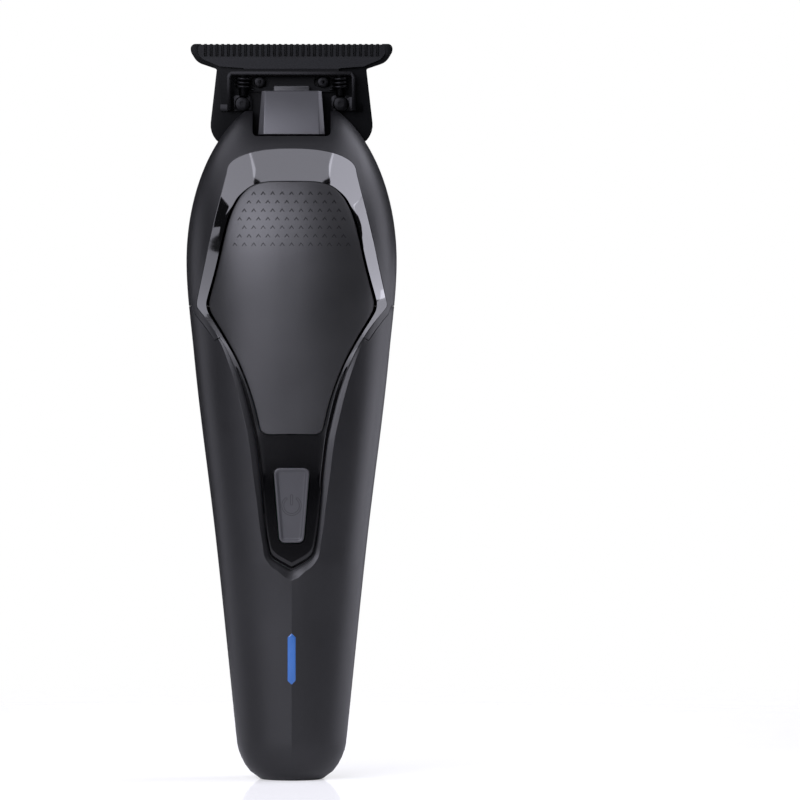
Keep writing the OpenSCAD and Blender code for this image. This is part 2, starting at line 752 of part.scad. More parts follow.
// ---- Chassis ----
chassis_z = cell_z - 0.5 - bulkhead_t;
chassis_top_z = cell_top_z + 0.5;
ring_gap = 0.15;
ring_t = 1.1;
screw_sink = 0.5;
screw_head_t = 0.9;
spine_w = 10;
module bulkhead(z) {
    translate([0, 0, z]) linear_extrude(bulkhead_t)
        polygon([for (p = section(z, wall + 0.3)) [p[0], p[1]]]);
}
module chassis() color("#2a2a2e") {
    ring_r = motor_d / 2 + ring_gap + ring_t;
    difference() {
        union() {
            bulkhead(chassis_z);
            bulkhead(chassis_top_z);
            // Cradle behind the cell
            intersection() {
                translate([0, cell_y, chassis_z + 0.5])
                    cylinder(r = cell_d / 2 + cell_gap + cradle_t, h = chassis_top_z - chassis_z);
                translate([-far, cell_y + 1, 0]) cube([2 * far, far, 3 * far]);
            }
            // Ring round the motor and the spine that carries it
            translate([0, drive_y, motor_z + 3]) cylinder(r = ring_r, h = 6);
            translate([-spine_w / 2, drive_y + ring_r - 1.4, chassis_top_z + lap])
                cube([spine_w, 1.4, motor_z + 9 - chassis_top_z - lap]);
        }
        translate([0, cell_y, chassis_z + bulkhead_t])
            cylinder(r = cell_d / 2 + cell_gap, h = chassis_top_z - chassis_z - bulkhead_t);
        translate([0, drive_y, chassis_top_z + 4]) cylinder(r = motor_d / 2 + ring_gap, h = motor_len);
        // Notches that hold the board, open to the front
        translate([-board_w / 2 - 0.1, board_back_y + 0.1 - far, chassis_z - 1])
            cube([board_w + 0.2, far, chassis_top_z - chassis_z + 6]);
        for (s = [-1, 1]) {
            translate([s * grip_post_x, 0, chassis_z - 1]) cylinder(d = screw_d + hole_play, h = 4);
            translate([s * grip_post_x, 0, chassis_z + screw_sink])
                cylinder(d = screw_head_d + hole_play, h = 4);
        }
    }
}

module chassis_screws() color("#8a8a8e")
    for (s = [-1, 1])
        translate([s * grip_post_x, 0, 0]) {
            translate([0, 0, chassis_z + screw_sink]) cylinder(d = screw_head_d, h = screw_head_t);
            translate([0, 0, chassis_z - 4]) cylinder(d = screw_d, h = 4 + screw_sink + lap);
        }

// ---- Motor ----
module on_motor_axis(z) {
    translate([0, drive_y, z]) children();
}
module motor_can() color("#9a9aa0")
    on_motor_axis(0) difference() {
        translate([0, 0, motor_z]) cylinder(d = motor_d, h = motor_len);
        translate([0, 0, motor_z - 1]) cylinder(d = motor_d - 2 * can_t, h = motor_len + 1 - can_t);
        translate([0, 0, motor_top_z - 2]) cylinder(d = bush_d, h = 4);
        for (s = [-1, 1])
            translate([0, s * motor_screw_r, motor_top_z - 2]) cylinder(d = screw_d + thread_play, h = 4);
    }

bell_t = 1.4;
bell_in = 2;
module motor_end_bell() color("#e0ddd0")
    on_motor_axis(motor_z) difference() {
        union() {
            translate([0, 0, -bell_t]) cylinder(d = motor_d, h = bell_t);
            translate([0, 0, -0.1]) cylinder(d = motor_d - 2 * can_t - 0.1, h = bell_in + 0.1);
        }
        translate([0, 0, -bell_t - 1]) cylinder(d = bush_d, h = bell_t + bell_in + 2);
    }

module bush(z) {
    on_motor_axis(z) difference() {
        cylinder(d = bush_d, h = bush_len);
        translate([0, 0, -1]) cylinder(r = shaft_d / 2 + shaft_gap, h = bush_len + 2);
    }
}
module motor_front_bush() color("#c9a24a") bush(motor_top_z - bush_len + 0.8);
module motor_rear_bush() color("#c9a24a") bush(motor_z - bell_t + 0.2);

magnet_t = 0.075 * motor_d;
magnet_share = 0.65;
module motor_magnets() color("#3a3a40")
    on_motor_axis(motor_z + 4) difference() {
        cylinder(d = motor_d - 2 * can_t, h = magnet_share * motor_len);
        translate([0, 0, -1]) cylinder(d = motor_d - 2 * can_t - 2 * magnet_t, h = motor_len);
        translate([-2.5, -far, -1]) cube([5, 2 * far, motor_len]);
    }

commutator_d = 4.8;
commutator_z = motor_z + bell_in + 0.4;
module commutator() color("#b87040")
    on_motor_axis(commutator_z) difference() {
        cylinder(d = commutator_d, h = 2.4);
        translate([0, 0, -1]) cylinder(d = shaft_d, h = 5);
    }

module motor_brushes() color("#70706a")
    for (s = [-1, 1])
        translate([s * (commutator_d / 2 + 0.05) - (s < 0 ? 3 : 0), drive_y - 0.7, motor_z + bell_in])
            cube([3, 1.4, 2.4]);

armature_gap = 0.4;
armature_z = commutator_z + 2.6;
armature_h = 0.59 * motor_len;
module armature() color("#a8683c")
    on_motor_axis(armature_z) difference() {
        cylinder(d = motor_d - 2 * (can_t + magnet_t + armature_gap), h = armature_h);
        translate([0, 0, -1]) cylinder(d = shaft_d, h = armature_h + 2);
        // Three winding slots
        for (a = [90:120:330])
            rotate(a) translate([4.2, -0.8, -1]) cube([8, 1.6, armature_h + 2]);
    }

module motor_shaft() color("#c4c4c8")
    on_motor_axis(motor_z - bell_t + 0.4)
        cylinder(d = shaft_d, h = hub_z + 2 - motor_z + bell_t - 0.4);

// ---- Cam and motor plate ----
module eccentric_cam() color("#b0a890")
    on_motor_axis(0) difference() {
        translate([0, 0, hub_z]) cylinder(d = hub_d, h = hub_h);
        translate([0, 0, hub_z - 1]) cylinder(d = shaft_d, h = 3);
        translate([0, cutter_throw, hub_z + 2.3]) cylinder(d = pin_d, h = hub_h);
        // Balance cut on the side of the pin
        translate([-far, 3, hub_z + 1.4]) cube([2 * far, far, hub_h]);
    }

module cam_pin() color("#d0d0d4")
    on_motor_axis(hub_z + 2.3) translate([0, cutter_throw, 0])
        cylinder(d = pin_d, h = pin_top_z - hub_z - 2.3);

module pin_sleeve() color("#e8e4d4")
    on_motor_axis(sleeve_z) translate([0, cutter_throw, 0]) difference() {
        cylinder(d = sleeve_d, h = sleeve_h);
        translate([0, 0, -1]) cylinder(d = pin_d, h = sleeve_h + 2);
    }

motor_screw_r = 6.6;
motor_screw_len = 3.4;
plate_screw_len = 5.4;
module motor_plate() color("#a0a0a4")
    on_motor_axis(motor_top_z) difference() {
        linear_extrude(plate_t) hull() {
            circle(r = motor_d / 2 - 1);
            for (s = [-1, 1]) translate([s * plate_ear_x, 0]) circle(d = post_d);
        }
        translate([0, 0, -1]) cylinder(d = bush_d + 1, h = plate_t + 2);
        for (s = [-1, 1]) {
            translate([0, s * motor_screw_r, -1]) cylinder(d = screw_d + hole_play, h = plate_t + 2);
            translate([s * plate_ear_x, 0, -1]) cylinder(d = screw_d + hole_play, h = plate_t + 2);
        }
    }

module motor_screws() color("#8a8a8e")
    on_motor_axis(0) for (s = [-1, 1]) translate([0, s * motor_screw_r, 0]) {
        translate([0, 0, plate_top_z]) cylinder(d = screw_head_d - hole_play, h = 0.7);
        translate([0, 0, motor_top_z - 1.5]) cylinder(d = screw_d, h = motor_screw_len);
    }

module plate_screws() color("#8a8a8e")
    on_motor_axis(0) for (s = [-1, 1]) translate([s * plate_ear_x, 0, 0]) {
        translate([0, 0, motor_top_z - 1.2]) cylinder(d = screw_head_d + hole_play, h = 1.2);
        translate([0, 0, motor_top_z - 0.5]) cylinder(d = screw_d, h = plate_screw_len);
    }

// ---- Wires ----
// A round tube through points, with its ends square to x and y
module lead(points, d) {
    sides = 8;
    rings_solid([for (p = points) [for (i = [0:sides - 1])
        [p[0] + d / 2 * cos(360 * i / sides), p[1] + d / 2 * sin(360 * i / sides), p[2]]]]);
}
module motor_leads() color("#a03030")
    for (s = [-1, 1])
        lead([[s * 3.5, board_front_y - 1, board_top_z - 5], [s * 3.5, board_front_y - 1, board_top_z - 1],
            [s * 3.7, board_front_y - 0.2, board_top_z + 2], [s * 4, drive_y - 5, motor_z - 5],
            [s * 4, drive_y - 4.6, motor_z - bell_t]], lead_d);

module charge_leads() color("#303030")
    for (s = [-1, 1])
        lead([[s * 2.6, -4, port_board_z + board_t], [s * 2.6, -4.4, port_board_z + 5],
            [s * 2.6, board_front_y + 3, board_z - 8], [s * 2.6, board_front_y + 0.6, board_z]], lead_d);

// ---- Power ----
module battery_cell() color("#4878a0")
    translate([0, cell_y, cell_z]) {
        cylinder(d = cell_d, h = cell_len - 0.8);
        cylinder(d = 6, h = cell_len);
    }
tab_w = 5;
tab_leg = 4;
tab_reach = 3;
module battery_tab(z, s) {
    // Strip across the end of the cell and a leg down its front to the board
    translate([-tab_w / 2, board_back_y, z]) cube([tab_w, cell_y + tab_reach - board_back_y, tab_t]);
    translate([-tab_w / 2, board_back_y, s > 0 ? z : z + tab_t - tab_leg])
        cube([tab_w, tab_t, tab_leg]);
}
module battery_tab_top() color("#c8c8cc") battery_tab(cell_top_z, -1);
module battery_tab_bottom() color("#c8c8cc") battery_tab(cell_z - tab_t, 1);

module main_board() color("#1e5038") {
    translate([-board_w / 2, board_front_y, board_z]) cube([board_w, board_t, board_top_z - board_z]);
    // Controller, charger and inductor
    chip_w = 0.4 * board_w;
    chip_t = 0.75 * board_t;
    translate([-chip_w / 2, board_front_y - chip_t, button_z - 3 * chip_w]) cube([chip_w, board_t, chip_w]);
    translate([-0.9 * chip_w, board_front_y - chip_t, button_z + 1.8 * chip_w])
        cube([0.8 * chip_w, board_t, chip_w]);
    translate([0.2 * chip_w, board_front_y - 2 * chip_t, button_z + 1.8 * chip_w])
        cube([0.8 * chip_w, 2 * board_t, 0.8 * chip_w]);
}
module tact_switch() color("#303034") {
    difference() {
        translate([-switch_w / 2, switch_y, button_z - switch_w / 2])
            cube([switch_w, switch_t, switch_w]);
        y_bar(0, switch_y + 1.2, button_z, 2.4, 3);
    }
}
module switch_plunger() color("#d8c8a0")
    y_bar(0, switch_y + 0.5, button_z, 2.2, 1);
module status_led() color("#e8e8f0")
    translate([-0.8, board_front_y - led_t, board_z + 0.4]) cube([1.6, led_t, 1.6]);

// ---- Blade set ----
blade_bottom_z = nose_z - 7.6;
t_bar_h = 5.4;
module blade_outline() {
    horn_r = 1.1;
    belly_r = 1.8;
    wing_r = 4.8;
    hull() {
        for (s = [-1, 1]) {
            translate([s * (blade_w / 2 - horn_r), tip_z - horn_r]) circle(r = horn_r, $fn = 32);
            translate([s * (blade_w / 2 - 2.7), tip_z - 2.2]) circle(r = belly_r, $fn = 32);
        }
        translate([-blade_neck_w / 2, tip_z - t_bar_h]) square([blade_neck_w, 1]);
    }
    hull() {
        translate([-blade_neck_w / 2, tip_z - t_bar_h]) square([blade_neck_w, 1]);
        for (s = [-1, 1])
            translate([s * (blade_wing_w / 2 - wing_r), blade_bottom_z + wing_r])
                circle(r = wing_r, $fn = 48);
    }
}
module tooth_gaps(count, top_z, y, t, depth) {
    for (i = [0:count - 1])
        translate([(i - (count - 1) / 2) * tooth_pitch - tooth_gap / 2, y - 1, top_z - depth])
            cube([tooth_gap, t + 2, depth + 1]);
}
bevel_h = 4.6;
tip_t = 0.4;
module fixed_blade() color("#26262a")
    difference() {
        upright(seat_y + blade_t, blade_t) blade_outline();
        tooth_gaps(tooth_count, tip_z, seat_y, blade_t, tooth_depth);
        // Bevel ground on the back, down to thin tips
        translate([0, seat_y + tip_t, tip_z]) rotate([atan((blade_t - tip_t) / bevel_h), 0, 0])
            translate([-far, 0, -bevel_h * 1.5]) cube([2 * far, far, bevel_h * 3]);
        for (s = [-1, 1]) {
            y_bar(s * blade_screw_x, seat_y + blade_t + 1, blade_screw_z,
                blade_screw_d + 1.5 * hole_play, blade_t + 2);
            y_bar(s * bracket_screw_x, seat_y + blade_t + 1, bracket_screw_z,
                bracket_screw_d, blade_t + 2);
            y_bar(s * guide_x, seat_y + blade_t + 1, guide_z, guide_d, blade_t + 2);
        }
    }

cutter_half_w = blade_w / 2 - 1.6;
cutter_neck_w = 0.83 * blade_neck_w;
cutter_tail_w = 12.4;
cutter_tail_z = nose_z + 1.2;
cutter_body_w = 20.6;
cutter_body_z = pad_top_z + 0.8;
cutter_tip_z = tip_z - tooth_setback;
module moving_blade() color("#1e1e22")
    difference() {
        upright(cutter_y, cutter_t) {
            hull() {
                for (s = [-1, 1]) {
                    translate([s * (cutter_half_w - 1), cutter_tip_z - 1]) circle(r = 1, $fn = 32);
                    translate([s * (cutter_half_w - 1.9), tip_z - 2.6]) circle(r = 1.5, $fn = 32);
                }
                translate([-cutter_neck_w / 2, tip_z - t_bar_h]) square([cutter_neck_w, 1]);
            }
            translate([-cutter_body_w / 2, cutter_body_z])
                square([cutter_body_w, tip_z - t_bar_h - cutter_body_z + 0.5]);
            translate([-cutter_tail_w / 2, cutter_tail_z])
                square([cutter_tail_w, cutter_body_z - cutter_tail_z + 0.5]);
        }
        // One gap less than the fixed blade, so that at rest its teeth stand in the gaps
        tooth_gaps(tooth_count - 1, cutter_tip_z, cutter_front_y, cutter_t, tooth_depth - tooth_setback);
        // Bevel on the front of the T
        translate([0, cutter_y - 0.3, cutter_tip_z]) rotate([-atan(0.7 / bevel_h), 0, 0])
            translate([-far, -far, -bevel_h * 1.5]) cube([2 * far, far, bevel_h * 3]);
        // Slots that run on the guide pins
        for (s = [-1, 1])
            upright(cutter_y + 1, cutter_t + 2) translate([s * guide_x, guide_z])
                square([guide_d + 2 * cutter_throw + 0.3, guide_d + 2 * guide_gap], center = true);
        for (s = [-1, 1]) y_bar(s * peg_x, cutter_y + 1, peg_z, peg_d, cutter_t + 2);
    }

guide_head_t = 0.7;
module guide_pins() color("#55555a")
    for (s = [-1, 1]) {
        y_bar(s * guide_x, seat_y + blade_t, guide_z, guide_d, blade_t + blade_gap + cutter_t + 0.6);
        y_bar(s * guide_x, cutter_front_y - 0.1, guide_z, guide_d + 0.5, guide_head_t);
    }

// Fork inside the drive block, wide enough for the orbit of the sleeve
fork_half_x = sleeve_d / 2 + 2 * cutter_throw + 0.15;
fork_half_y = sleeve_d / 2 + cutter_throw + 0.25;
fork_top_z = pin_top_z + 0.6;
block_back_y = cutter_front_y;
module block_plan(z, front_half, back_half, front_y, chamfer) {
    translate([0, 0, z]) linear_extrude(tiny)
        polygon([[-back_half, block_back_y], [-back_half, front_y + chamfer], [-front_half, front_y],
            [front_half, front_y], [back_half, front_y + chamfer], [back_half, block_back_y]]);
}
module drive_block() color("#66666b") {
    difference() {
        union() {
            hull() {
                block_plan(block_z, block_w / 2 + 0.15, block_w / 2 + block_flare, block_front_y, 1.2);
                block_plan(block_top_z - tiny, block_w / 2 - 0.2, block_w / 2 + 0.4,
                    block_front_y + block_lean, 0.9);
            }
            // Tab that lies on the moving blade
            translate([-block_tab_w / 2, block_back_y - block_tab_t, block_top_z - 1])
                cube([block_tab_w, block_tab_t, block_tab_h + 1]);
        }
        translate([-fork_half_x, drive_y - fork_half_y, block_z - 1])
            cube([2 * fork_half_x, 2 * fork_half_y, fork_top_z - block_z + 1]);
    }
    for (s = [-1, 1])
        y_bar(s * peg_x, cutter_y, peg_z, peg_d, cutter_t + 0.5);
}
block_front_y = -front_d(slot_floor_z) + 0.8;
block_lean = 3;
block_tab_w = 7.8;
block_tab_t = 1.7;
block_tab_h = 1.45;

// ---- Bracket and springs ----
bracket_screw_x = 0.382 * bracket_w;
bracket_half_w = bracket_w / 2;
pad_w = 0.15 * bracket_w;
// How far the feet of the bracket stand in front of the moving blade
pad_lift = 0.2;
bracket_screw_head_d = 3.4;
bracket_screw_head_t = 1;
bracket_top_z = nose_z + 8.7;
bracket_front_y = -1.1;
spring_x = 0.375 * bracket_w;
spring_y = 0;
spring_lift = 1.3;
spring_z = pad_top_z + spring_lift;
spring_turns = 3;
spring_arm = 2.2;
module spring_bracket() color("#2b2b2f") {
    leg_w = 1.1;
    difference() {
        union() {
            // Top bar with bevelled crest
            translate([-bracket_half_w, bracket_front_y + 1, bracket_top_z - 0.9])
                cube([2 * bracket_half_w, cutter_front_y - 0.15 - bracket_front_y - 1, 0.9]);
            for (s = [-1, 1]) {
                translate([s * (bracket_half_w - leg_w / 2) - leg_w / 2, bracket_front_y, pad_z])
                    cube([leg_w, seat_y - bracket_front_y, bracket_top_z - pad_z]);
                // Foot that takes the screw
                translate([s * bracket_screw_x - pad_w / 2, cutter_front_y - pad_lift, pad_z])
                    cube([pad_w, seat_y - cutter_front_y + pad_lift, pad_top_z - pad_z]);
                translate([s * (bracket_half_w + 0.3) - 1.2, seat_y - 0.8, pad_z])
                    cube([2.4, 0.8, 1.4]);
                // Post of the spring
                translate([s * spring_x, spring_y, pad_top_z - 0.1])
                    cylinder(d = 2, h = bracket_top_z - pad_top_z + 0.1);
                translate([s * spring_x - 1, spring_y, pad_top_z - 0.1])
                    cube([2, cutter_front_y - 0.1 - spring_y, 0.6]);
            }
        }
        for (s = [-1, 1])
            y_bar(s * bracket_screw_x, seat_y + 1, bracket_screw_z, bracket_screw_d + hole_play, 8);
    }
}
module spring_coil() {
    steps = 12;
    // Long arm to the moving blade, coil, short arm to the leg
    coil = [for (i = [0:steps * spring_turns])
        let(a = 90 + 360 * i / steps) [spring_r * cos(a), spring_r * sin(a),
            i / steps * (spring_wire + 0.25)]];
    path = concat([[-spring_arm, spring_r, 0]], coil);
    sides = 6;
    rings_solid([for (i = [0:len(path) - 1])
        let(p = path[i], q = path[max(0, i - 1)], r = path[min(len(path) - 1, i + 1)],
            d = r - q, t = d / norm(d), side = cross(t, [0, 0, 1]) / norm(cross(t, [0, 0, 1])),
            up = cross(side, t))
        [for (k = [0:sides - 1]) p + spring_wire / 2
            * (cos(360 * k / sides) * side + sin(360 * k / sides) * up)]]);
}
module tension_springs() color("#707074") {
    translate([spring_x, spring_y, spring_z]) spring_coil();
    mirror([1, 0, 0]) translate([spring_x, spring_y, spring_z]) spring_coil();
}

module bracket_screws() color("#5a5a5e")
    for (s = [-1, 1]) difference() {
        union() {
            y_bar(s * bracket_screw_x, cutter_front_y - pad_lift, bracket_screw_z,
                bracket_screw_head_d, bracket_screw_head_t);
            y_bar(s * bracket_screw_x, seat_y + blade_t - 0.1, bracket_screw_z, bracket_screw_d,
                blade_t + seat_y - cutter_front_y + 0.6);
        }
        y_bar(s * bracket_screw_x, cutter_front_y - pad_lift - bracket_screw_head_t / 2, bracket_screw_z,
            bracket_screw_head_d / 3, 3);
    }

module blade_screws() color("#5a5a5e")
    for (s = [-1, 1]) difference() {
        union() {
            y_bar(s * blade_screw_x, seat_y + blade_t + blade_screw_head_t, blade_screw_z,
                blade_screw_head_d, blade_screw_head_t);
            y_bar(s * blade_screw_x, seat_y + blade_t + lap, blade_screw_z, blade_screw_d, 6.5);
        }
        y_bar(s * blade_screw_x, seat_y + blade_t + 2, blade_screw_z, 0.4 * blade_screw_head_d, 1.6);
    }

head_housing();
grip_housing();
bezel();
face_plate();
power_button();
button_seal();
led_lens();
base_cap();
dock_contacts();
charge_socket();
port_board();
chassis();
chassis_screws();
motor_can();
motor_end_bell();
motor_front_bush();
motor_rear_bush();
motor_magnets();
motor_brushes();
motor_shaft();
armature();
commutator();
eccentric_cam();
cam_pin();
pin_sleeve();
motor_plate();
motor_screws();
plate_screws();
motor_leads();
battery_cell();
battery_tab_top();
battery_tab_bottom();
main_board();
tact_switch();
switch_plunger();
status_led();
charge_leads();
fixed_blade();
moving_blade();
guide_pins();
drive_block();
spring_bracket();
tension_springs();
bracket_screws();
blade_screws();
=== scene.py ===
import json
import math
from bisect import bisect_right
import bpy
import bmesh
from mathutils import Matrix, Vector
from mathutils.kdtree import KDTree

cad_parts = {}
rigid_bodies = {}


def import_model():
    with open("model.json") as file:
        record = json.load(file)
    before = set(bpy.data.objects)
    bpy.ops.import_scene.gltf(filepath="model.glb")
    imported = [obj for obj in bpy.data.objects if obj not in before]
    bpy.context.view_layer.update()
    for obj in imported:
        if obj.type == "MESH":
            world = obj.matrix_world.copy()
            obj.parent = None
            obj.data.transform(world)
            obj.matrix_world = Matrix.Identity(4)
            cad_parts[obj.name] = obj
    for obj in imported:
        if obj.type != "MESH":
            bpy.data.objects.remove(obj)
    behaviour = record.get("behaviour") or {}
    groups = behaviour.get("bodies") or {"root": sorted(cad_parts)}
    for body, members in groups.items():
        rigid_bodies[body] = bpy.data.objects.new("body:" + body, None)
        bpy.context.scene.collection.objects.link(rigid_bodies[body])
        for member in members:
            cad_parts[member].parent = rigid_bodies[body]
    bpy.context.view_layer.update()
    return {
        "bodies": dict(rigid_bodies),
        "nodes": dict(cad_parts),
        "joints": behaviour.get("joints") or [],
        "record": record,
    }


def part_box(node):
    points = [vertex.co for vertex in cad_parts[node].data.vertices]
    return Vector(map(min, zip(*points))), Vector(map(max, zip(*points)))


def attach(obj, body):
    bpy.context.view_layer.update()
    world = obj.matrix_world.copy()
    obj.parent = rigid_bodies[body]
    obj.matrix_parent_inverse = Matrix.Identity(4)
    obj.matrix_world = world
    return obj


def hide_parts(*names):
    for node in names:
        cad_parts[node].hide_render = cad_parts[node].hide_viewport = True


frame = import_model()
mm = 0.001


# Lowest and highest corner of a CAD node, in millimetres
def box(node):
    low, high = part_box(node)
    return low / mm, high / mm


# A shader socket that takes arithmetic
class Shade:
    def __init__(self, tree, socket=None):
        self.tree = tree
        self.socket = socket

    def node(self, kind, settings=None, inputs=None, out=0):
        made = self.tree.nodes.new(kind)
        for key, value in (settings or {}).items():
            setattr(made, key, value)
        self.feed(made, inputs or {})
        return Shade(self.tree, made.outputs[out])

    # Sets or links a node's inputs
    def feed(self, made, inputs):
        for key, value in inputs.items():
            if isinstance(value, Shade):
                self.tree.links.new(value.socket, made.inputs[key])
            else:
                made.inputs[key].default_value = value

    def math(self, operation, *values):
        return self.node("ShaderNodeMath", {"operation": operation}, dict(enumerate(values)))

    def __add__(self, other):
        return self.math("ADD", self, other)

    def __radd__(self, other):
        return self.math("ADD", other, self)

    def __sub__(self, other):
        return self.math("SUBTRACT", self, other)

    def __rsub__(self, other):
        return self.math("SUBTRACT", other, self)

    def __mul__(self, other):
        return self.math("MULTIPLY", self, other)

    def __rmul__(self, other):
        return self.math("MULTIPLY", other, self)

    # 0 below low, 1 above high
    def ramp(self, low, high):
        return self.node("ShaderNodeMapRange", {"interpolation_type": "SMOOTHSTEP"},
                         {0: self, 1: low, 2: high, 3: 0.0, 4: 1.0})

    def mix(self, dark, light):
        return self.node("ShaderNodeMix", {"data_type": "RGBA"},
                         {0: self, 6: dark, 7: light}, out=2)


def rgb(r, g, b):
    return (r, g, b, 1.0)


# Starts a material; paint(shade, coords) returns the inputs of its shader
def makeMaterial(name, paint):
    material = bpy.data.materials.new(name)
    material.use_nodes = True
    tree = material.node_tree
    shader = tree.nodes["Principled BSDF"]
    shade = Shade(tree)
    shade.feed(shader, paint(shade, shade.node("ShaderNodeTexCoord", out=3)))
    return material


def noise(shade, coords, scale, detail=2.0, roughness=0.5):
    return shade.node("ShaderNodeTexNoise", None,
                      {"Vector": coords, "Scale": scale, "Detail": detail, "Roughness": roughness})


def bump(shade, height, distance):
    return shade.node("ShaderNodeBump", None, {"Strength": 1.0, "Distance": distance, "Height": height})


def heightOf(shade, coords):
    return shade.node("ShaderNodeSeparateXYZ", None, {0: coords}, out=2)


finishForm = {
    "cloudScale": 60.0,
    "metalCloudScale": 120.0,
    "coatIor": 2.2,
    "coatRoughness": 0.05,
}


# A moulded or painted finish: two close tones in broad clouds, and a fine grain. polish names the
# heights in metres between which a clear coat comes in
def grainFinish(dark, light, roughness, spread, grain, depth, metallic=0.0, polish=None):
    def paint(shade, coords):
        clouds = noise(shade, coords, finishForm["cloudScale"]).ramp(0.3, 0.7)
        fine = noise(shade, coords, grain, 3.0, 0.6)
        return {
            "Base Color": (clouds * 0.6 + fine * 0.4).mix(rgb(*dark), rgb(*light)),
            "Roughness": clouds * spread + fine * spread + (roughness - spread),
            "Metallic": metallic,
            "Coat Weight": heightOf(shade, coords).ramp(*polish) if polish else 0.0,
            "Coat IOR": finishForm["coatIor"],
            "Coat Roughness": finishForm["coatRoughness"],
            "Normal": bump(shade, fine, depth),
        }
    return paint


# Brushed or ground metal. Its lines lie across the axis with the largest stretch
def brushedFinish(dark, light, roughness, spread, stretch, depth, metallic=1.0, shine=0.5):
    def paint(shade, coords):
        drawn = shade.node("ShaderNodeMapping", None, {"Vector": coords, "Scale": stretch})
        lines = noise(shade, drawn, 1.0, 4.0, 0.65)
        clouds = noise(shade, coords, finishForm["metalCloudScale"])
        return {
            "Base Color": (lines * 0.7 + clouds * 0.3).mix(rgb(*dark), rgb(*light)),
            "Roughness": lines * spread + (roughness - spread / 2),
            "Metallic": metallic,
            "Specular IOR Level": shine,
            "Normal": bump(shade, lines, depth),
        }
    return paint


materials = {}
for name, paint in {
    "softBlack": grainFinish((0.0095, 0.0095, 0.0102), (0.0130, 0.0130, 0.0141), 0.38, 0.03, 4200.0, 0.00001),
    "glossBlack": grainFinish((0.0012, 0.0012, 0.0015), (0.0018, 0.0018, 0.0022), 0.07, 0.015, 900.0,
                              0.000001, polish=(0.086, 0.097)),
    "gunmetal": grainFinish((0.066, 0.066, 0.067), (0.079, 0.079, 0.080), 0.44, 0.03, 5200.0, 0.00001,
                            metallic=0.85),
    "bezelWall": grainFinish((0.0012, 0.0012, 0.0015), (0.0018, 0.0018, 0.0022), 0.6, 0.03, 5200.0,
                             0.000004),
    "tabGrey": grainFinish((0.020, 0.020, 0.021), (0.026, 0.026, 0.027), 0.45, 0.03, 5200.0, 0.000008),
    # The next finish is painted shade: a darker tone that the pits of the face plate get in place of the
    # shade inside them
    "pitPaintedShade": grainFinish((0.003, 0.003, 0.0033), (0.005, 0.005, 0.0055), 0.55, 0.03, 5200.0, 0.00001),
    "buttonGrey": grainFinish((0.050, 0.050, 0.054), (0.061, 0.061, 0.065), 0.38, 0.03, 5200.0, 0.000008),
    "symbolDark": grainFinish((0.010, 0.010, 0.011), (0.014, 0.014, 0.015), 0.5, 0.03, 5200.0, 0.000004),
    "bladeBlack": brushedFinish((0.0050, 0.0052, 0.0055), (0.0075, 0.0078, 0.0082), 0.38, 0.08,
                                (260.0, 260.0, 5200.0), 0.000004, metallic=0.0, shine=0.05),
    "groundSteel": brushedFinish((0.0100, 0.0102, 0.0106), (0.0155, 0.0158, 0.0164), 0.36, 0.08,
                                 (300.0, 300.0, 7000.0), 0.000004),
    "blockGrey": grainFinish((0.069, 0.069, 0.073), (0.086, 0.086, 0.091), 0.42, 0.03, 5200.0, 0.000008,
                             metallic=0.5),
    "springSteel": brushedFinish((0.012, 0.012, 0.0125), (0.020, 0.020, 0.021), 0.34, 0.06,
                                 (900.0, 900.0, 900.0), 0.000003),
    "screwBlack": brushedFinish((0.008, 0.008, 0.0085), (0.014, 0.014, 0.0145), 0.32, 0.06,
                                (700.0, 700.0, 2600.0), 0.000003),
    "steel": brushedFinish((0.42, 0.42, 0.43), (0.55, 0.55, 0.56), 0.30, 0.08,
                           (400.0, 400.0, 4000.0), 0.000003),
    "brass": brushedFinish((0.46, 0.30, 0.09), (0.62, 0.42, 0.15), 0.30, 0.08,
                           (900.0, 900.0, 900.0), 0.000003),
    "copper": brushedFinish((0.42, 0.16, 0.07), (0.60, 0.25, 0.12), 0.32, 0.08,
                            (5200.0, 5200.0, 400.0), 0.000006),
    "magnet": grainFinish((0.030, 0.030, 0.034), (0.050, 0.050, 0.055), 0.55, 0.05, 2600.0, 0.00001),
    "innerPlastic": grainFinish((0.020, 0.020, 0.022), (0.028, 0.028, 0.030), 0.50, 0.04, 3000.0, 0.00001),
    "whitePlastic": grainFinish((0.60, 0.58, 0.50), (0.70, 0.68, 0.60), 0.45, 0.04, 3000.0, 0.00001),
    "rubber": grainFinish((0.012, 0.012, 0.012), (0.020, 0.020, 0.020), 0.70, 0.05, 2600.0, 0.00001),
    "boardGreen": grainFinish((0.010, 0.070, 0.035), (0.016, 0.100, 0.050), 0.40, 0.04, 1500.0, 0.00001),
    "wireRed": grainFinish((0.30, 0.020, 0.018), (0.42, 0.030, 0.025), 0.45, 0.04, 2600.0, 0.00001),
    "magnetWire": grainFinish((0.015, 0.015, 0.016), (0.025, 0.025, 0.026), 0.45, 0.04, 2600.0, 0.00001),
    "cellBlue": grainFinish((0.040, 0.130, 0.26), (0.055, 0.170, 0.33), 0.35, 0.04, 1500.0, 0.000004),
}.items():
    materials[name] = makeMaterial(name, paint)


def paintLens(shade, coords):
    height = heightOf(shade, coords)
    glow = height.ramp(0.019, 0.027) * (1.0 - height.ramp(0.028, 0.034)) * 0.5 + 0.5
    cloud = noise(shade, coords, 900.0)
    return {
        "Base Color": (glow * 0.8 + cloud * 0.2).mix(rgb(0.020, 0.09, 0.28), rgb(0.035, 0.13, 0.40)),
        "Emission Color": glow.mix(rgb(0.010, 0.05, 0.18), rgb(0.022, 0.09, 0.30)),
        "Emission Strength": 0.25,
        "Roughness": cloud * 0.05 + 0.2,
        "Coat Weight": 0.3,
    }


materials["blueLens"] = makeMaterial("blueLens", paintLens)
print("materials", len(materials))

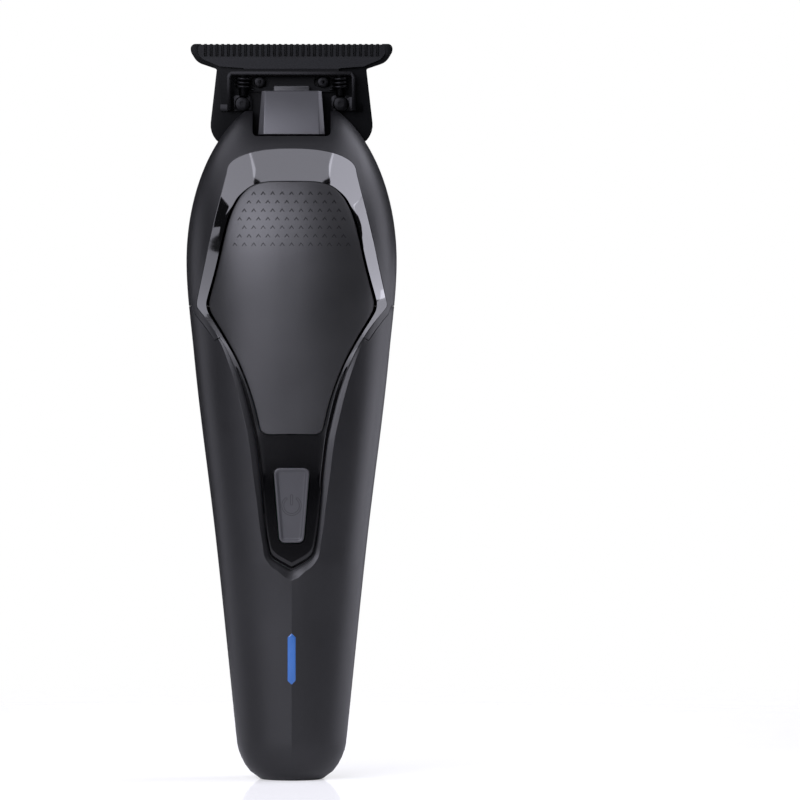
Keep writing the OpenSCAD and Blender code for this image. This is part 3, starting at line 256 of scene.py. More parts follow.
# The body surface. All lengths from here on are millimetres
bodyForm = {
    "heights": (10.0, 52.0, 92.0, 112.5),
    "halfWidths": (12.1, 16.45, 21.2, 22.85),
    "frontDepths": (12.4, 14.4, 17.0, 18.0),
    "backDepths": (13.4, 15.0, 16.6, 17.0),
    "crown": 36.3,
    "brow": 33.0,
    "nape": 28.0,
    "napeDepth": 8.5,
    "footHeight": 8.0,
    "footRun": 4.9,
    "footPower": 1.75,
    "sectionPower": 2.3,
    "keelRise": 1.1,
    "keelTop": 47.0,
    "keelFade": 12.0,
}
headZ = bodyForm["heights"][3]
noseZ = box("head_housing")[1].z
power = bodyForm["sectionPower"]


# Sine or cosine to its place on a superellipse
def swell(value):
    return math.copysign(abs(value) ** (2 / power), value)


def hermite(t, h, a, slopeA, b, slopeB):
    return ((2 * t ** 3 - 3 * t ** 2 + 1) * a + (t ** 3 - 2 * t ** 2 + t) * h * slopeA
            + (3 * t ** 2 - 2 * t ** 3) * b + (t ** 3 - t ** 2) * h * slopeB)


def profile(values, dome, z):
    heights = bodyForm["heights"]
    if z > headZ:
        return values[3] * math.sqrt(max(0.0, 1 - ((z - headZ) / dome) ** 2))
    step = [heights[i + 1] - heights[i] for i in range(3)]
    rise = [(values[i + 1] - values[i]) / step[i] for i in range(3)]
    slope = [rise[0]]
    slope += [(rise[i - 1] * step[i] + rise[i] * step[i - 1]) / (step[i - 1] + step[i]) for i in (1, 2)]
    slope.append(0.0)
    if z < heights[0]:
        return values[0] + rise[0] * (z - heights[0])
    i = 0 if z < heights[1] else 1 if z < heights[2] else 2
    return hermite((z - heights[i]) / step[i], step[i], values[i], slope[i], values[i + 1], slope[i + 1])


def footIn(z):
    if z >= bodyForm["footHeight"]:
        return 0.0
    p = bodyForm["footPower"]
    return bodyForm["footRun"] * (1 - (1 - (1 - max(0.0, z) / bodyForm["footHeight"]) ** p) ** (1 / p))


def halfWidth(z):
    return profile(bodyForm["halfWidths"], bodyForm["crown"], z) - footIn(z)


def frontDepth(z):
    return profile(bodyForm["frontDepths"], bodyForm["brow"], z) - footIn(z)


def backDepth(z):
    least = bodyForm["napeDepth"] if z > headZ else 0.0
    return max(profile(bodyForm["backDepths"], bodyForm["nape"], z), least) - footIn(z)


def keel(z):
    return bodyForm["keelRise"] * max(0.0, min(1.0, (bodyForm["keelTop"] - z) / bodyForm["keelFade"]))


def frontY(x, z):
    u = min(1.0, abs(x) / halfWidth(z))
    k = keel(z)
    return -(frontDepth(z) - k) * (1 - u ** power) ** (1 / power) - k * (1 - u)


# Point of the body at an angle round from the front centre line, and a height
def bodyPoint(angle, z):
    x = halfWidth(z) * max(0.0, math.sin(angle)) ** (2 / power)
    if angle <= math.pi / 2:
        return Vector((x, frontY(x, z), z))
    return Vector((x, backDepth(z) * max(0.0, -math.cos(angle)) ** (2 / power), z))


def angleAt(x, z):
    return math.asin(min(1.0, abs(x) / halfWidth(z)) ** (power / 2))


def frontNormal(x, z):
    h = 0.05
    dx = (frontY(x + h, z) - frontY(x - h, z)) / (2 * h)
    dz = (frontY(x, z + h) - frontY(x, z - h)) / (2 * h)
    return Vector((dx, -1.0, dz)).normalized()


# A grid of columns by rows whose points are placed by place(i, j); keep(i, j) says which cells stay
def gridSheet(columns, rows, place, keep=None):
    bm = bmesh.new()
    bmesh.ops.create_grid(bm, x_segments=columns, y_segments=rows, size=0.5)
    if keep:
        spare = []
        for f in bm.faces:
            at = f.calc_center_median()
            if not keep(int((at.x + 0.5) * columns), int((at.y + 0.5) * rows)):
                spare.append(f)
        bmesh.ops.delete(bm, geom=spare, context="FACES")
    for v in bm.verts:
        v.co = place(round((v.co.x + 0.5) * columns), round((v.co.y + 0.5) * rows))
    return bm


# Adds the left half, welds the middle and turns the faces out
def mirrorAcross(bm, reach=0.0005):
    bmesh.ops.remove_doubles(bm, verts=bm.verts, dist=reach)
    bmesh.ops.dissolve_degenerate(bm, edges=bm.edges, dist=reach / 5)
    bmesh.ops.mirror(bm, geom=bm.verts[:] + bm.edges[:] + bm.faces[:], matrix=Matrix(),
                     merge_dist=reach * 4, axis="X")
    bmesh.ops.remove_doubles(bm, verts=bm.verts, dist=reach)
    turnOut(bm)


# Turns the faces away from a centre, or from the body axis
def turnOut(bm, centre=None):
    bmesh.ops.recalc_face_normals(bm, faces=bm.faces)
    total = 0.0
    for f in bm.faces:
        at = f.calc_center_median()
        away = at - (centre or Vector((0.0, 0.0, at.z)))
        total += away.dot(f.normal) * f.calc_area()
    if total < 0:
        bmesh.ops.reverse_faces(bm, faces=bm.faces)


# Closes rings of points, given end to end, into a solid with flat ends
def loft(rings):
    count = len(rings[0])
    bm = gridSheet(count, len(rings) - 1, lambda i, j: Vector(rings[j][i % count]))
    bmesh.ops.remove_doubles(bm, verts=bm.verts, dist=0.00001)
    bmesh.ops.holes_fill(bm, edges=[e for e in bm.edges if e.is_boundary], sides=0)
    bmesh.ops.recalc_face_normals(bm, faces=bm.faces)
    return bm


# Solid between two values of y over an outline in x and z
def prism(points, front, back):
    return loft([[(p[0], y, p[1]) for p in points] for y in (front, back)])


# Whole outline from its right half, given from the foot to the top
def bothSides(half):
    left = [Vector((-p[0], p[1])) for p in reversed(half) if p[0] > 0.001]
    return [Vector(p) for p in half] + left


def block(low, high):
    corners = [(low[0], low[2]), (high[0], low[2]), (high[0], high[2]), (low[0], high[2])]
    return prism(corners, low[1], high[1])


# Upright round bar, with its middle at a place
def post(at, length, radius, segments=32):
    bm = bmesh.new()
    bmesh.ops.create_cone(bm, cap_ends=True, segments=segments, radius1=radius, radius2=radius, depth=length)
    bmesh.ops.translate(bm, vec=at, verts=bm.verts)
    return bm


# Round bar along y, with its ends bevelled
def bar(x, z, front, back, radius, edge=0.0, segments=32):
    bm = post((0.0, 0.0, 0.0), back - front, radius, segments)
    bmesh.ops.rotate(bm, matrix=Matrix.Rotation(math.pi / 2, 3, "X"), verts=bm.verts)
    bmesh.ops.translate(bm, vec=(x, (front + back) / 2, z), verts=bm.verts)
    if edge:
        bevelSharp(bm, 60, edge, 3)
    return bm


# Mesh of a bmesh, which is then freed
def meshOf(bm, name="scratch"):
    mesh = bpy.data.meshes.new(name)
    bm.to_mesh(mesh)
    bm.free()
    return mesh


def addObject(name, data):
    thing = bpy.data.objects.new(name, data)
    bpy.context.scene.collection.objects.link(thing)
    return thing


# Puts several meshes into one
def gather(*parts):
    whole = bmesh.new()
    for part in parts:
        mesh = meshOf(part)
        whole.from_mesh(mesh)
        bpy.data.meshes.remove(mesh)
    return whole


def vertsOf(geometry):
    return [g for g in geometry if isinstance(g, bmesh.types.BMVert)]


def treeOf(spots):
    tree = KDTree(len(spots))
    for index, spot in enumerate(spots):
        tree.insert(spot, index)
    tree.balance()
    return tree


# Gives a shell its wall, grown inward along the normals
def wallIn(bm, depth):
    bm.normal_update()
    ways = [v.normal.copy() for v in bm.verts]
    tree = treeOf([v.co.copy() for v in bm.verts])
    grown = bmesh.ops.extrude_face_region(bm, geom=bm.faces[:])["geom"]
    for v in vertsOf(grown):
        v.co -= ways[tree.find(v.co)[1]] * depth
    bmesh.ops.recalc_face_normals(bm, faces=bm.faces)


# Gives an open sheet a back, moved inward along y
def thicken(bm, depth):
    grown = bmesh.ops.extrude_face_region(bm, geom=bm.faces[:])["geom"]
    bmesh.ops.translate(bm, vec=(0.0, depth, 0.0), verts=vertsOf(grown))
    bmesh.ops.recalc_face_normals(bm, faces=bm.faces)


# Bevels the edges sharper than an angle that pick(edge) accepts
def bevelSharp(bm, degrees, offset, segments=2, pick=None):
    limit = math.radians(degrees)
    sharp = [e for e in bm.edges if len(e.link_faces) == 2 and e.calc_face_angle(0.0) > limit
             and (pick is None or pick(e))]
    bmesh.ops.bevel(bm, geom=sharp, offset=offset, offset_type="OFFSET", segments=segments, profile=0.5,
                    affect="EDGES", material=-1, clamp_overlap=True)


# Smooth shading, except along seams and over edges sharper than an angle
def sharpen(bm, degrees):
    limit = math.radians(degrees)
    for f in bm.faces:
        f.smooth = True
    for e in bm.edges:
        e.smooth = e.seam is False and len(e.link_faces) == 2 and e.calc_face_angle(0.0) < limit


# Gives the faces that pick(middle, normal) accepts the piece's second finish
def secondFinish(bm, pick):
    for f in bm.faces:
        if pick(f.calc_center_median(), f.normal):
            f.material_index = 1


# Turns a bmesh in millimetres into an object with a material, riding on a body
def makePiece(name, bm, material, body, nodes=(), angle=30.0, extra=()):
    sharpen(bm, angle)
    bmesh.ops.transform(bm, matrix=Matrix.Scale(mm, 4), verts=bm.verts)
    piece = addObject(name, meshOf(bm, name))
    for used in (material, *extra):
        piece.data.materials.append(materials[used])
    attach(piece, body)
    if nodes:
        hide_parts(*nodes)
    return piece


# Cuts one bmesh from another, or joins them, by way of two scratch objects
def combine(bm, other, operation="DIFFERENCE"):
    made = [addObject("scratch", meshOf(part)) for part in (bm, other)]
    cut = made[0].modifiers.new("cut", "BOOLEAN")
    cut.operation = operation
    cut.object = made[1]
    cut.solver = "MANIFOLD"
    bpy.context.view_layer.update()
    shape = made[0].evaluated_get(bpy.context.evaluated_depsgraph_get())
    result = bmesh.new()
    result.from_mesh(shape.data)
    for thing in made:
        mesh = thing.data
        bpy.data.objects.remove(thing)
        bpy.data.meshes.remove(mesh)
    return result


# Smooth curve through points in the plane, with steps spans between neighbours
def smoothThrough(points, steps):
    line = []
    for i in range(len(points) - 1):
        a, b = Vector(points[i]), Vector(points[i + 1])
        before = Vector(points[i - 1]) if i else a * 2 - b
        after = Vector(points[i + 2]) if i + 2 < len(points) else b * 2 - a
        for k in range(steps):
            t = k / steps
            line.append(0.5 * (2 * a + (b - before) * t + (2 * before - 5 * a + 4 * b - after) * t ** 2
                               + (3 * a - before - 3 * b + after) * t ** 3))
    line.append(Vector(points[-1]))
    return line


# Rounds the inner corners of a path of straight pieces
def roundPath(points, radii, steps=6):
    points = [Vector(p) for p in points]
    line = [points[0]]
    for before, corner, after, radius in zip(points, points[1:], points[2:], radii):
        a, b = (before - corner).normalized(), (after - corner).normalized()
        half = a.angle(b) / 2
        reach = radius / math.tan(half)
        centre = corner + (a + b).normalized() * (radius / math.sin(half))
        start = (corner + a * reach - centre).normalized()
        end = (corner + b * reach - centre).normalized()
        line += [centre + start.slerp(end, k / steps) * radius for k in range(steps + 1)]
    return line + [points[-1]]


# Point and outward normal at a fraction of a line's length
class Outline:
    def __init__(self, line):
        self.line = [Vector(p) for p in line]
        self.far = [0.0]
        for a, b in zip(self.line, self.line[1:]):
            self.far.append(self.far[-1] + (b - a).length)

    def at(self, fraction):
        want = max(0.0, min(1.0, fraction)) * self.far[-1]
        low = min(bisect_right(self.far, want) - 1, len(self.far) - 2)
        span = self.far[low + 1] - self.far[low]
        return self.line[low].lerp(self.line[low + 1], (want - self.far[low]) / span if span else 0.0)

    def normal(self, fraction, width=0.004):
        if fraction <= 0.0001 or fraction >= 0.9999:
            return Vector((0.0, -1.0 if fraction < 0.5 else 1.0))
        along = self.at(fraction + width) - self.at(fraction - width)
        return Vector((along.y, -along.x)).normalized()

    # Fraction of the length at which the line first passes a height
    def where(self, z):
        for i, (a, b) in enumerate(zip(self.line, self.line[1:])):
            if a.y <= z < b.y:
                part = (z - a.y) / (b.y - a.y)
                return (self.far[i] + part * (self.far[i + 1] - self.far[i])) / self.far[-1]
        return 1.0


panelForm = {
    "tip": box("bezel")[0].z,
    "side": ((1.62, 46.5), (3.45, 47.55), (4.55, 48.45), (5.08, 49.8), (5.75, 53.5), (6.25, 58.0),
             (7.05, 66.0), (7.9, 73.0), (8.95, 78.0), (10.5, 84.0), (12.5, 90.0), (14.4, 94.0),
             (16.95, 98.0)),
    "corner": ((19.9, 101.7), (20.42, 102.5), (20.42, 103.6)),
    "strip": ((20.0, 105.6), (18.55, 112.0), (16.75, 120.0), (14.95, 127.0)),
    "crownFoot": (13.9, 131.3),
    "crownTop": box("bezel")[1].z,
    "crownPower": 2.27,
    "crownSteps": 32,
}


def panelLine():
    form = panelForm
    foot = form["crownFoot"]
    line = smoothThrough(((0.0, form["tip"]), *form["side"], *form["corner"], *form["strip"], foot), 8)
    reach = 2 / form["crownPower"]
    for k in range(1, form["crownSteps"] + 1):
        turn = math.pi / 2 * k / form["crownSteps"]
        line.append(Vector((foot[0] * max(0.0, math.cos(turn)) ** reach,
                            foot[1] + (form["crownTop"] - foot[1]) * math.sin(turn) ** reach)))
    line[-1].x = 0.0
    return Outline(line)


panel = panelLine()

plateForm = {
    "low": box("face_plate")[0].z,
    "high": box("face_plate")[1].z,
    "side": ((5.6, 74.98), (6.55, 75.6), (6.95, 76.7), (7.25, 78.2), (8.5, 83.0), (10.9, 89.5), (13.7, 95.0),
             (16.6, 99.9), (17.45, 101.5), (17.72, 102.8), (17.55, 104.2), (15.9, 110.5), (13.65, 120.2),
             (11.9, 124.6), (10.2, 127.0), (8.3, 128.45)),
    "endIn": 0.7,
    "edgeDrop": 0.16,
    "thick": 1.0,
    "rows": (0.0, 0.03, 0.08, 0.15, 0.24),
    "innerRows": 18,
    "columns": 150,
}


def plateLine(gap=0.0):
    low, high = plateForm["low"] - gap, plateForm["high"]
    line = [Vector((0.0, low)), Vector((2.0, low)), Vector((4.0, low))]
    line += smoothThrough([(4.6, low), *plateForm["side"], (5.5, 129.15), (2.6, high - 0.02), (0.0, high)], 8)
    if gap:
        raw = Outline(line)
        count = len(line) - 1
        line = [raw.at(k / count) + raw.normal(k / count) * gap for k in range(count + 1)]
        line[0].x = line[-1].x = 0.0
    return Outline(line)


plate = plateLine()
print("outlines ready")

# Both housings are one net, with columns along the panel edge and rows away from it
shellForm = {
    "foot": 52.5,
    "dip": 95.8,
    "wide": 102.35,
    "crown": 0.80,
    "seam": box("grip_housing")[1].z,
    "margin": 1.3,
    "gap": 0.14,
    "rim": 0.15,
    "gripWall": 1.6,
    "headWall": 1.8,
    # Width and depth of the dip along the panel edge, by height
    "lipWidth": ((45.0, 2.25), (47.2, 1.5), (48.6, 1.05), (52.0, 0.85), (58.0, 0.95), (68.0, 1.2),
                 (78.0, 1.2), (90.0, 0.95), (95.5, 0.45), (97.0, 0.14), (140.0, 0.14)),
    "lipDepth": ((45.0, 1.0), (50.0, 0.8), (90.0, 0.7), (96.0, 0.3), (97.5, 0.1), (140.0, 0.1)),
    "lipRows": (0.0, 0.5, 0.94, 1.0, 1.08),
    "gripColumns": (20, 46),
    "bandColumns": 10,
    "headColumns": (46, 34),
    "rows": 46,
    "bevel": 0.14,
}


def smooth(t):
    t = max(0.0, min(1.0, t))
    return t * t * (3 - 2 * t)


# Value at a place of a table of pairs, with a soft step between them
def along(table, place):
    for (p0, a), (p1, b) in zip(table, table[1:]):
        if place <= p1:
            return a + (b - a) * smooth((place - p0) / (p1 - p0))
    return table[-1][1]


# The same, straight between the pairs
def between(table, place):
    for (p0, a), (p1, b) in zip(table, table[1:]):
        if place <= p1:
            return a + (b - a) * max(0.0, (place - p0) / (p1 - p0))
    return table[-1][1]


uFoot, uDip, uWide = (panel.where(shellForm[name]) for name in ("foot", "dip", "wide"))
uCrown = shellForm["crown"]
stops = (0.0, uFoot, uDip, uWide, uCrown, 1.0)
columns = (*shellForm["gripColumns"], shellForm["bandColumns"], *shellForm["headColumns"])
spans = []
for start, end, number in zip(stops, stops[1:], columns):
    spans += [start + (end - start) * k / number for k in range(number)]
spans.append(1.0)
colDip = sum(shellForm["gripColumns"])
colWide = colDip + shellForm["bandColumns"]
lipRows = shellForm["lipRows"]
rowMargin = len(lipRows)
shellRows = rowMargin + shellForm["rows"]


# Where the columns end: the base rim, the back centre line, then the nose rim
def farEnd(u):
    if u < uFoot:
        return math.pi * u / uFoot, shellForm["rim"]
    if u < uWide:
        part = (u - uFoot) / (uWide - uFoot)
        return math.pi, shellForm["rim"] + (shellForm["seam"] - shellForm["rim"]) * part
    if u < uCrown:
        part = (u - uWide) / (uCrown - uWide)
        return math.pi, shellForm["seam"] + (noseZ - shellForm["seam"]) * part
    return math.pi * (1 - u) / (1 - uCrown), noseZ


def shellPoint(i, j):
    u = spans[i]
    edge = panel.at(u)
    away = panel.normal(u)
    width = along(shellForm["lipWidth"], edge.y)
    deep = along(shellForm["lipDepth"], edge.y)
    if j < rowMargin:
        at = edge + away * width * lipRows[j]
        at.x = max(0.0, at.x)
        drop = deep * max(0.0, 1 - lipRows[j])
        return Vector((at.x, frontY(at.x, at.y), at.y)) - frontNormal(at.x, at.y) * drop
    margin = max(shellForm["margin"], width * 1.2)
    at = edge + away * margin
    at.x = 0.0 if u in (0.0, 1.0) else max(0.0, min(at.x, halfWidth(at.y) * 0.999))
    t = (j - rowMargin) / shellForm["rows"]
    t = t * (0.45 + 0.55 * t)  # rows crowd towards the panel
    angle, z = farEnd(u)
    startAngle = angleAt(at.x, at.y)
    if i == colWide:
        z = at.y = shellForm["seam"]
        startAngle = angleAt(min(at.x, halfWidth(z) * 0.999), z)
    turn = startAngle + (angle - startAngle) * t
    return bodyPoint(turn, at.y + (z - at.y) * t)


def inGrip(i, j):
    return i < colDip or (i < colWide and j >= rowMargin)


def inHead(i, j):
    return i >= colWide or (i >= colDip and j < rowMargin)


baseForm = {
    "capHalf": 6.4,
    "capDepth": 7.0,
    "gap": 0.05,
    "level": 0.03,
}


def buildGrip():
    form = baseForm
    bm = gridSheet(len(spans) - 1, shellRows, shellPoint, inGrip)
    mirrorAcross(bm)
    # Underside in to the base cap
    rim = [e for e in bm.edges if e.is_boundary and max(v.co.z for v in e.verts) < shellForm["rim"] + 0.01]
    for v in vertsOf(bmesh.ops.extrude_edge_only(bm, edges=rim)["geom"]):
        turn = math.atan2(v.co.y / form["capDepth"], v.co.x / form["capHalf"])
        v.co = Vector(((form["capHalf"] + form["gap"]) * swell(math.cos(turn)),
                       (form["capDepth"] + form["gap"]) * swell(math.sin(turn)), form["level"]))
    turnOut(bm, Vector((0.0, 0.0, 50.0)))
    return bm


def buildHead():
    bm = gridSheet(len(spans) - 1, shellRows, shellPoint, inHead)
    mirrorAcross(bm)
    rim = [e for e in bm.edges if e.is_boundary and min(v.co.z for v in e.verts) > noseZ - 0.01]
    bmesh.ops.edgenet_fill(bm, edges=rim)
    turnOut(bm, Vector((0.0, 0.0, 120.0)))
    return bm


# Marks the ridge down the front as a crease
def markRidge(bm):
    top = bodyForm["keelTop"] - 3
    for e in bm.edges:
        if all(abs(v.co.x) < 0.001 and v.co.y < 0 and 0.5 < v.co.z < top for v in e.verts):
            e.seam = True


noseForm = {
    "plugFoot": 134.0,
    "plugIn": 0.9,
    "plugRings": 8,
    "plugSides": 48,
    "slotHalf": 8.45,
    "slotFloor": 139.25,
    "slotCorner": 1.05,
    "seatFoot": box("fixed_blade")[0].z - 0.35,
    "seatDepth": 3.0,
    "pinWay": 2.5,
    "pinY": -2.5,
    "pinDeep": 10.0,
    "bevel": 0.22,
}


# Solid upper part of the nose, a little inside its skin
def buildPlug():
    form = noseForm
    last = form["plugRings"] - 1
    rings = []
    for k in range(form["plugRings"]):
        z = form["plugFoot"] + (noseZ - form["plugFoot"]) * k / last
        ring = []
        for m in range(form["plugSides"]):
            turn = 2 * math.pi * m / form["plugSides"]
            depth = frontDepth(z) if -math.cos(turn) < 0 else backDepth(z)
            ring.append(((halfWidth(z) - form["plugIn"]) * swell(math.sin(turn)),
                         (depth - form["plugIn"]) * swell(-math.cos(turn)), z - (0.02 if k == last else 0.0)))
        rings.append(ring)
    return loft(rings)


def cutNose(bm):
    form = noseForm
    bm = combine(bm, buildPlug(), "UNION")
    half = roundPath([(0.0, form["slotFloor"]), (form["slotHalf"], form["slotFloor"]),
                      (form["slotHalf"], noseZ + 2), (0.0, noseZ + 2)], (form["slotCorner"], 0.01))
    bm = combine(bm, prism(bothSides(half), -30.0, form["seatDepth"] + 0.4))
    bm = combine(bm, block((-30.0, form["seatDepth"], form["seatFoot"]), (30.0, 30.0, noseZ + 3)))
    middle = form["slotFloor"] + 1.0 - form["pinDeep"] / 2
    bm = combine(bm, post((0.0, form["pinY"], middle), form["pinDeep"] + 2.0, form["pinWay"]))

    def onSlot(e):
        return all(v.co.z > form["slotFloor"] - 0.01 and abs(v.co.x) < form["slotHalf"] + 0.01
                   and v.co.y < form["seatDepth"] - 0.3 for v in e.verts)
    bevelSharp(bm, 40, form["bevel"], 2, onSlot)
    return bm


gripMesh = buildGrip()
markRidge(gripMesh)
headMesh = buildHead()
for bm, wall, shift in ((gripMesh, shellForm["gripWall"], -0.5), (headMesh, shellForm["headWall"], 0.5)):
    # The seam opens by half its gap on each side
    rim = [v for v in bm.verts if v.is_boundary and v.co.z > 1.0]
    for v in rim:
        v.co.z += shift * shellForm["gap"]
    tree = treeOf([v.co.copy() for v in rim])
    wallIn(bm, wall)
    bevelSharp(bm, 55, shellForm["bevel"], 2, lambda e: all(tree.find(v.co)[2] < 0.001 for v in e.verts))
    print("shell", len(bm.faces), "open edges", sum(e.is_boundary for e in bm.edges),
          "odd edges", sum(len(e.link_faces) > 2 for e in bm.edges))
headMesh = cutNose(headMesh)
print("nose", len(headMesh.faces), "open edges", sum(e.is_boundary for e in headMesh.edges))
makePiece("gripHousing", gripMesh, "softBlack", "casing", ["grip_housing"])
makePiece("headHousing", headMesh, "softBlack", "casing", ["head_housing"])

# The bezel runs from the panel edge in to the button opening, the middle line and the face plate
bezelForm = {
    "rise": 0.9,
    "sink": 0.15,
    "fadeLow": 64.0,
    "fadeHigh": 98.0,
    "proud": 0.05,
    # Width of the outer facet, by height
    "facet": ((86.0, 0.8), (93.5, 3.4), (112.0, 3.6), (116.0, 2.75), (120.0, 2.25), (124.0, 2.0),
              (129.0, 1.7)),
    "frameFrom": 86.0,
    "frameRun": 5.0,
    "crownFrom": 120.0,
    "crownRun": 9.0,
    "flatFrom": 127.0,
    "flatRun": 6.0,
    "soft": 0.25,
    "thick": 1.4,
    "plateGap": 0.05,
    "buttonGap": 0.22,
    # Distances of the outer rows from the panel edge, and the reach of the dip and of the rise
    "rows": (0.0, 0.12, 0.35, 0.7, 1.1, 1.5, 1.8, 2.05, 2.3),
    "fullWidth": 2.7,
    "dipRun": 1.3,
    "riseRun": 2.0,
    "innerRows": 10,
    # Panel heights that face the ends of the button opening and of the middle line
    "holeTo": 66.5,
    "lineTo": 71.5,
    # Heights on the face plate's edge, and the panel heights that they face
    "facing": ((76.7, 75.6), (90.0, 90.8), (102.8, 103.0), (120.2, 121.0), (128.45, 133.3)),
}
buttonForm = {
    "low": 51.6,
    "high": 67.7,
    "lowHalf": 2.6,
    "highHalf": 3.9,
    "corner": 1.3,
    "dish": 0.28,
    "proud": 0.3,
    "stem": 1.8,
    "stemFrom": 1.0,
    "stemGap": 0.03,
    "middleIn": 1.3,
    # Inset from the outline, and height above the dish floor
    "rows": ((0.0, -1.0), (0.0, 0.12), (0.05, 0.22), (0.16, 0.28), (0.40, 0.28), (0.54, 0.23),
             (0.80, -0.05), (0.94, -0.11), (1.08, -0.12)),
    "innerRows": 8,
    "columns": 72,
}


def crest(z):
    form = bezelForm
    return form["rise"] * smooth((z - form["fadeLow"]) / (form["fadeHigh"] - form["fadeLow"]))


def buttonLine(grow):
    form = buttonForm
    low, high = form["low"] - grow, form["high"] + grow
    points = ((0.0, low), (form["lowHalf"] + grow, low), (form["highHalf"] + grow, high), (0.0, high))
    return Outline(roundPath(points, (form["corner"] + grow, form["corner"] + grow), 8))


buttonHole = buttonLine(bezelForm["buttonGap"])
plateHole = plateLine(bezelForm["plateGap"])
holeTop = buttonForm["high"] + bezelForm["buttonGap"]
plateFoot = plateForm["low"] - bezelForm["plateGap"]
uHole, uLine = panel.where(bezelForm["holeTo"]), panel.where(bezelForm["lineTo"])
plateToPanel = [(plateHole.where(own), panel.where(facing)) for own, facing in bezelForm["facing"]]
plateToPanel = [(0.0, uLine), *plateToPanel, (1.0, 1.0)]
bezelSpans = [("hole", k / 44) for k in range(44)]
bezelSpans += [("line", k / 8) for k in range(8)]
bezelSpans += [("plate", k / 130) for k in range(131)]
bezelRows = bezelForm["rows"]
innerRows = bezelForm["innerRows"]


def bezelEnds(i):
    kind, part = bezelSpans[i]
    if kind == "hole":
        return uHole * part, buttonHole.at(part)
    if kind == "line":
        return uHole + (uLine - uHole) * part, Vector((0.0, holeTop + (plateFoot - holeTop) * part))
    return between(plateToPanel, part), plateHole.at(part)


def lifted(at, lift):
    return Vector((at.x, frontY(at.x, at.y), at.y)) + frontNormal(at.x, at.y) * lift


# The lower panel follows the body and dips at its edge. The frame above it has two flat facets
def bezelPoint(i, j):
    form = bezelForm
    u, inner = bezelEnds(i)
    outer = panel.at(u)
    length = (inner - outer).length
    squeeze = min(1.0, length / form["fullWidth"])
    if j < len(bezelRows):
        d = bezelRows[j] * squeeze
    else:
        start = bezelRows[-1] * squeeze
        d = start + (length - start) * (j - len(bezelRows) + 1) / innerRows
    at = outer.lerp(inner, d / length)
    dip = along(shellForm["lipDepth"], at.y) * (1 - smooth(d / form["dipRun"]))
    low = lifted(at, crest(at.y) * smooth(d / form["riseRun"]) - dip)
    high = smooth((at.y - form["frameFrom"]) / form["frameRun"])
    if high == 0.0:
        return low
    up = smooth((outer.y - form["crownFrom"]) / form["crownRun"])
    ridge = along(form["facet"], at.y)
    ridge = min(length, ridge + (length - ridge) * up)
    edge, top = lifted(outer, form["proud"]), outer.lerp(inner, ridge / length)
    end = Vector((inner.x, frontY(inner.x, inner.y) - crest(inner.y), inner.y))
    end = lifted(inner, crest(inner.y)).lerp(end, smooth((outer.y - form["flatFrom"]) / form["flatRun"]))
    top = lifted(top, crest(top.y)).lerp(end, up)
    if d < ridge:
        frame = edge.lerp(top, d / ridge)
    else:
        frame = top.lerp(end, (d - ridge) / max(0.001, length - ridge))
    soft = form["soft"]
    if abs(d - ridge) < soft and ridge < length - soft:
        before, after = edge.lerp(top, 1 - soft / ridge), top.lerp(end, min(1.0, soft / (length - ridge)))
        t = (d - ridge + soft) / (2 * soft)
        frame = before.lerp(top, t).lerp(top.lerp(after, t), t)
    return low.lerp(frame, high) if high < 1.0 else frame


def buildBezel():
    bm = gridSheet(len(bezelSpans) - 1, len(bezelRows) - 1 + innerRows, bezelPoint)
    mirrorAcross(bm)
    turnOut(bm, Vector((0.0, 0.0, 90.0)))
    thicken(bm, bezelForm["thick"])
    # Inner walls and back stay matt
    secondFinish(bm, lambda at, normal: normal.y > -0.3)
    return bm


makePiece("bezelFrame", buildBezel(), "glossBlack", "casing", ["bezel"], 40.0, ["bezelWall"])

# Heights on the plate's edge, and the heights of the middle line that they face
plateMiddle = ((76.7, plateForm["low"] + 2.6), (90.0, 90.0), (102.8, 102.8), (120.2, 119.4), (128.45, 126.4))
plateTable = [(plate.where(own), facing) for own, facing in plateMiddle]
plateTable = [(0.0, plateForm["low"] + plateForm["endIn"]), *plateTable,
              (1.0, plateForm["high"] - plateForm["endIn"])]
plateRows = plateForm["rows"]
plateColumns = plateForm["columns"]
plateAcross = plateForm["innerRows"]


def plateY(x, z):
    return frontY(x, z) - crest(z) + bezelForm["sink"]


def platePoint(i, j):
    f = i / plateColumns
    outer = plate.at(f)
    inner = Vector((0.0, between(plateTable, f)))
    length = max(0.001, (inner - outer).length)
    if j < len(plateRows):
        d = min(plateRows[j], length * j / 20)
    else:
        d = plateRows[-1] + (length - plateRows[-1]) * (j - len(plateRows) + 1) / plateAcross
    at = outer.lerp(inner, min(1.0, d / length))
    drop = plateForm["edgeDrop"] * max(0.0, 1 - d / plateRows[-1]) ** 2
    return Vector((at.x, plateY(at.x, at.y) + drop, at.y))


pitForm = {
    "top": 126.7,
    "rows": 7,
    "rowPitch": 1.83,
    "pitch": 2.03,
    "half": 0.56,
    "halfHigh": 0.42,
    "stroke": 0.33,
    "deep": 0.14,
    "fade": 0.35,
    "margin": 1.9,
    # Where a pit's walls and floor are looked for: field, edge margin, and depth below the plate
    "fieldMiddle": 121.2,
    "fieldHalf": 6.6,
    "fieldMargin": 0.8,
    "least": 0.015,
    "most": 0.4,
}


def plateHalf(z):
    return plate.at(plate.where(z)).x


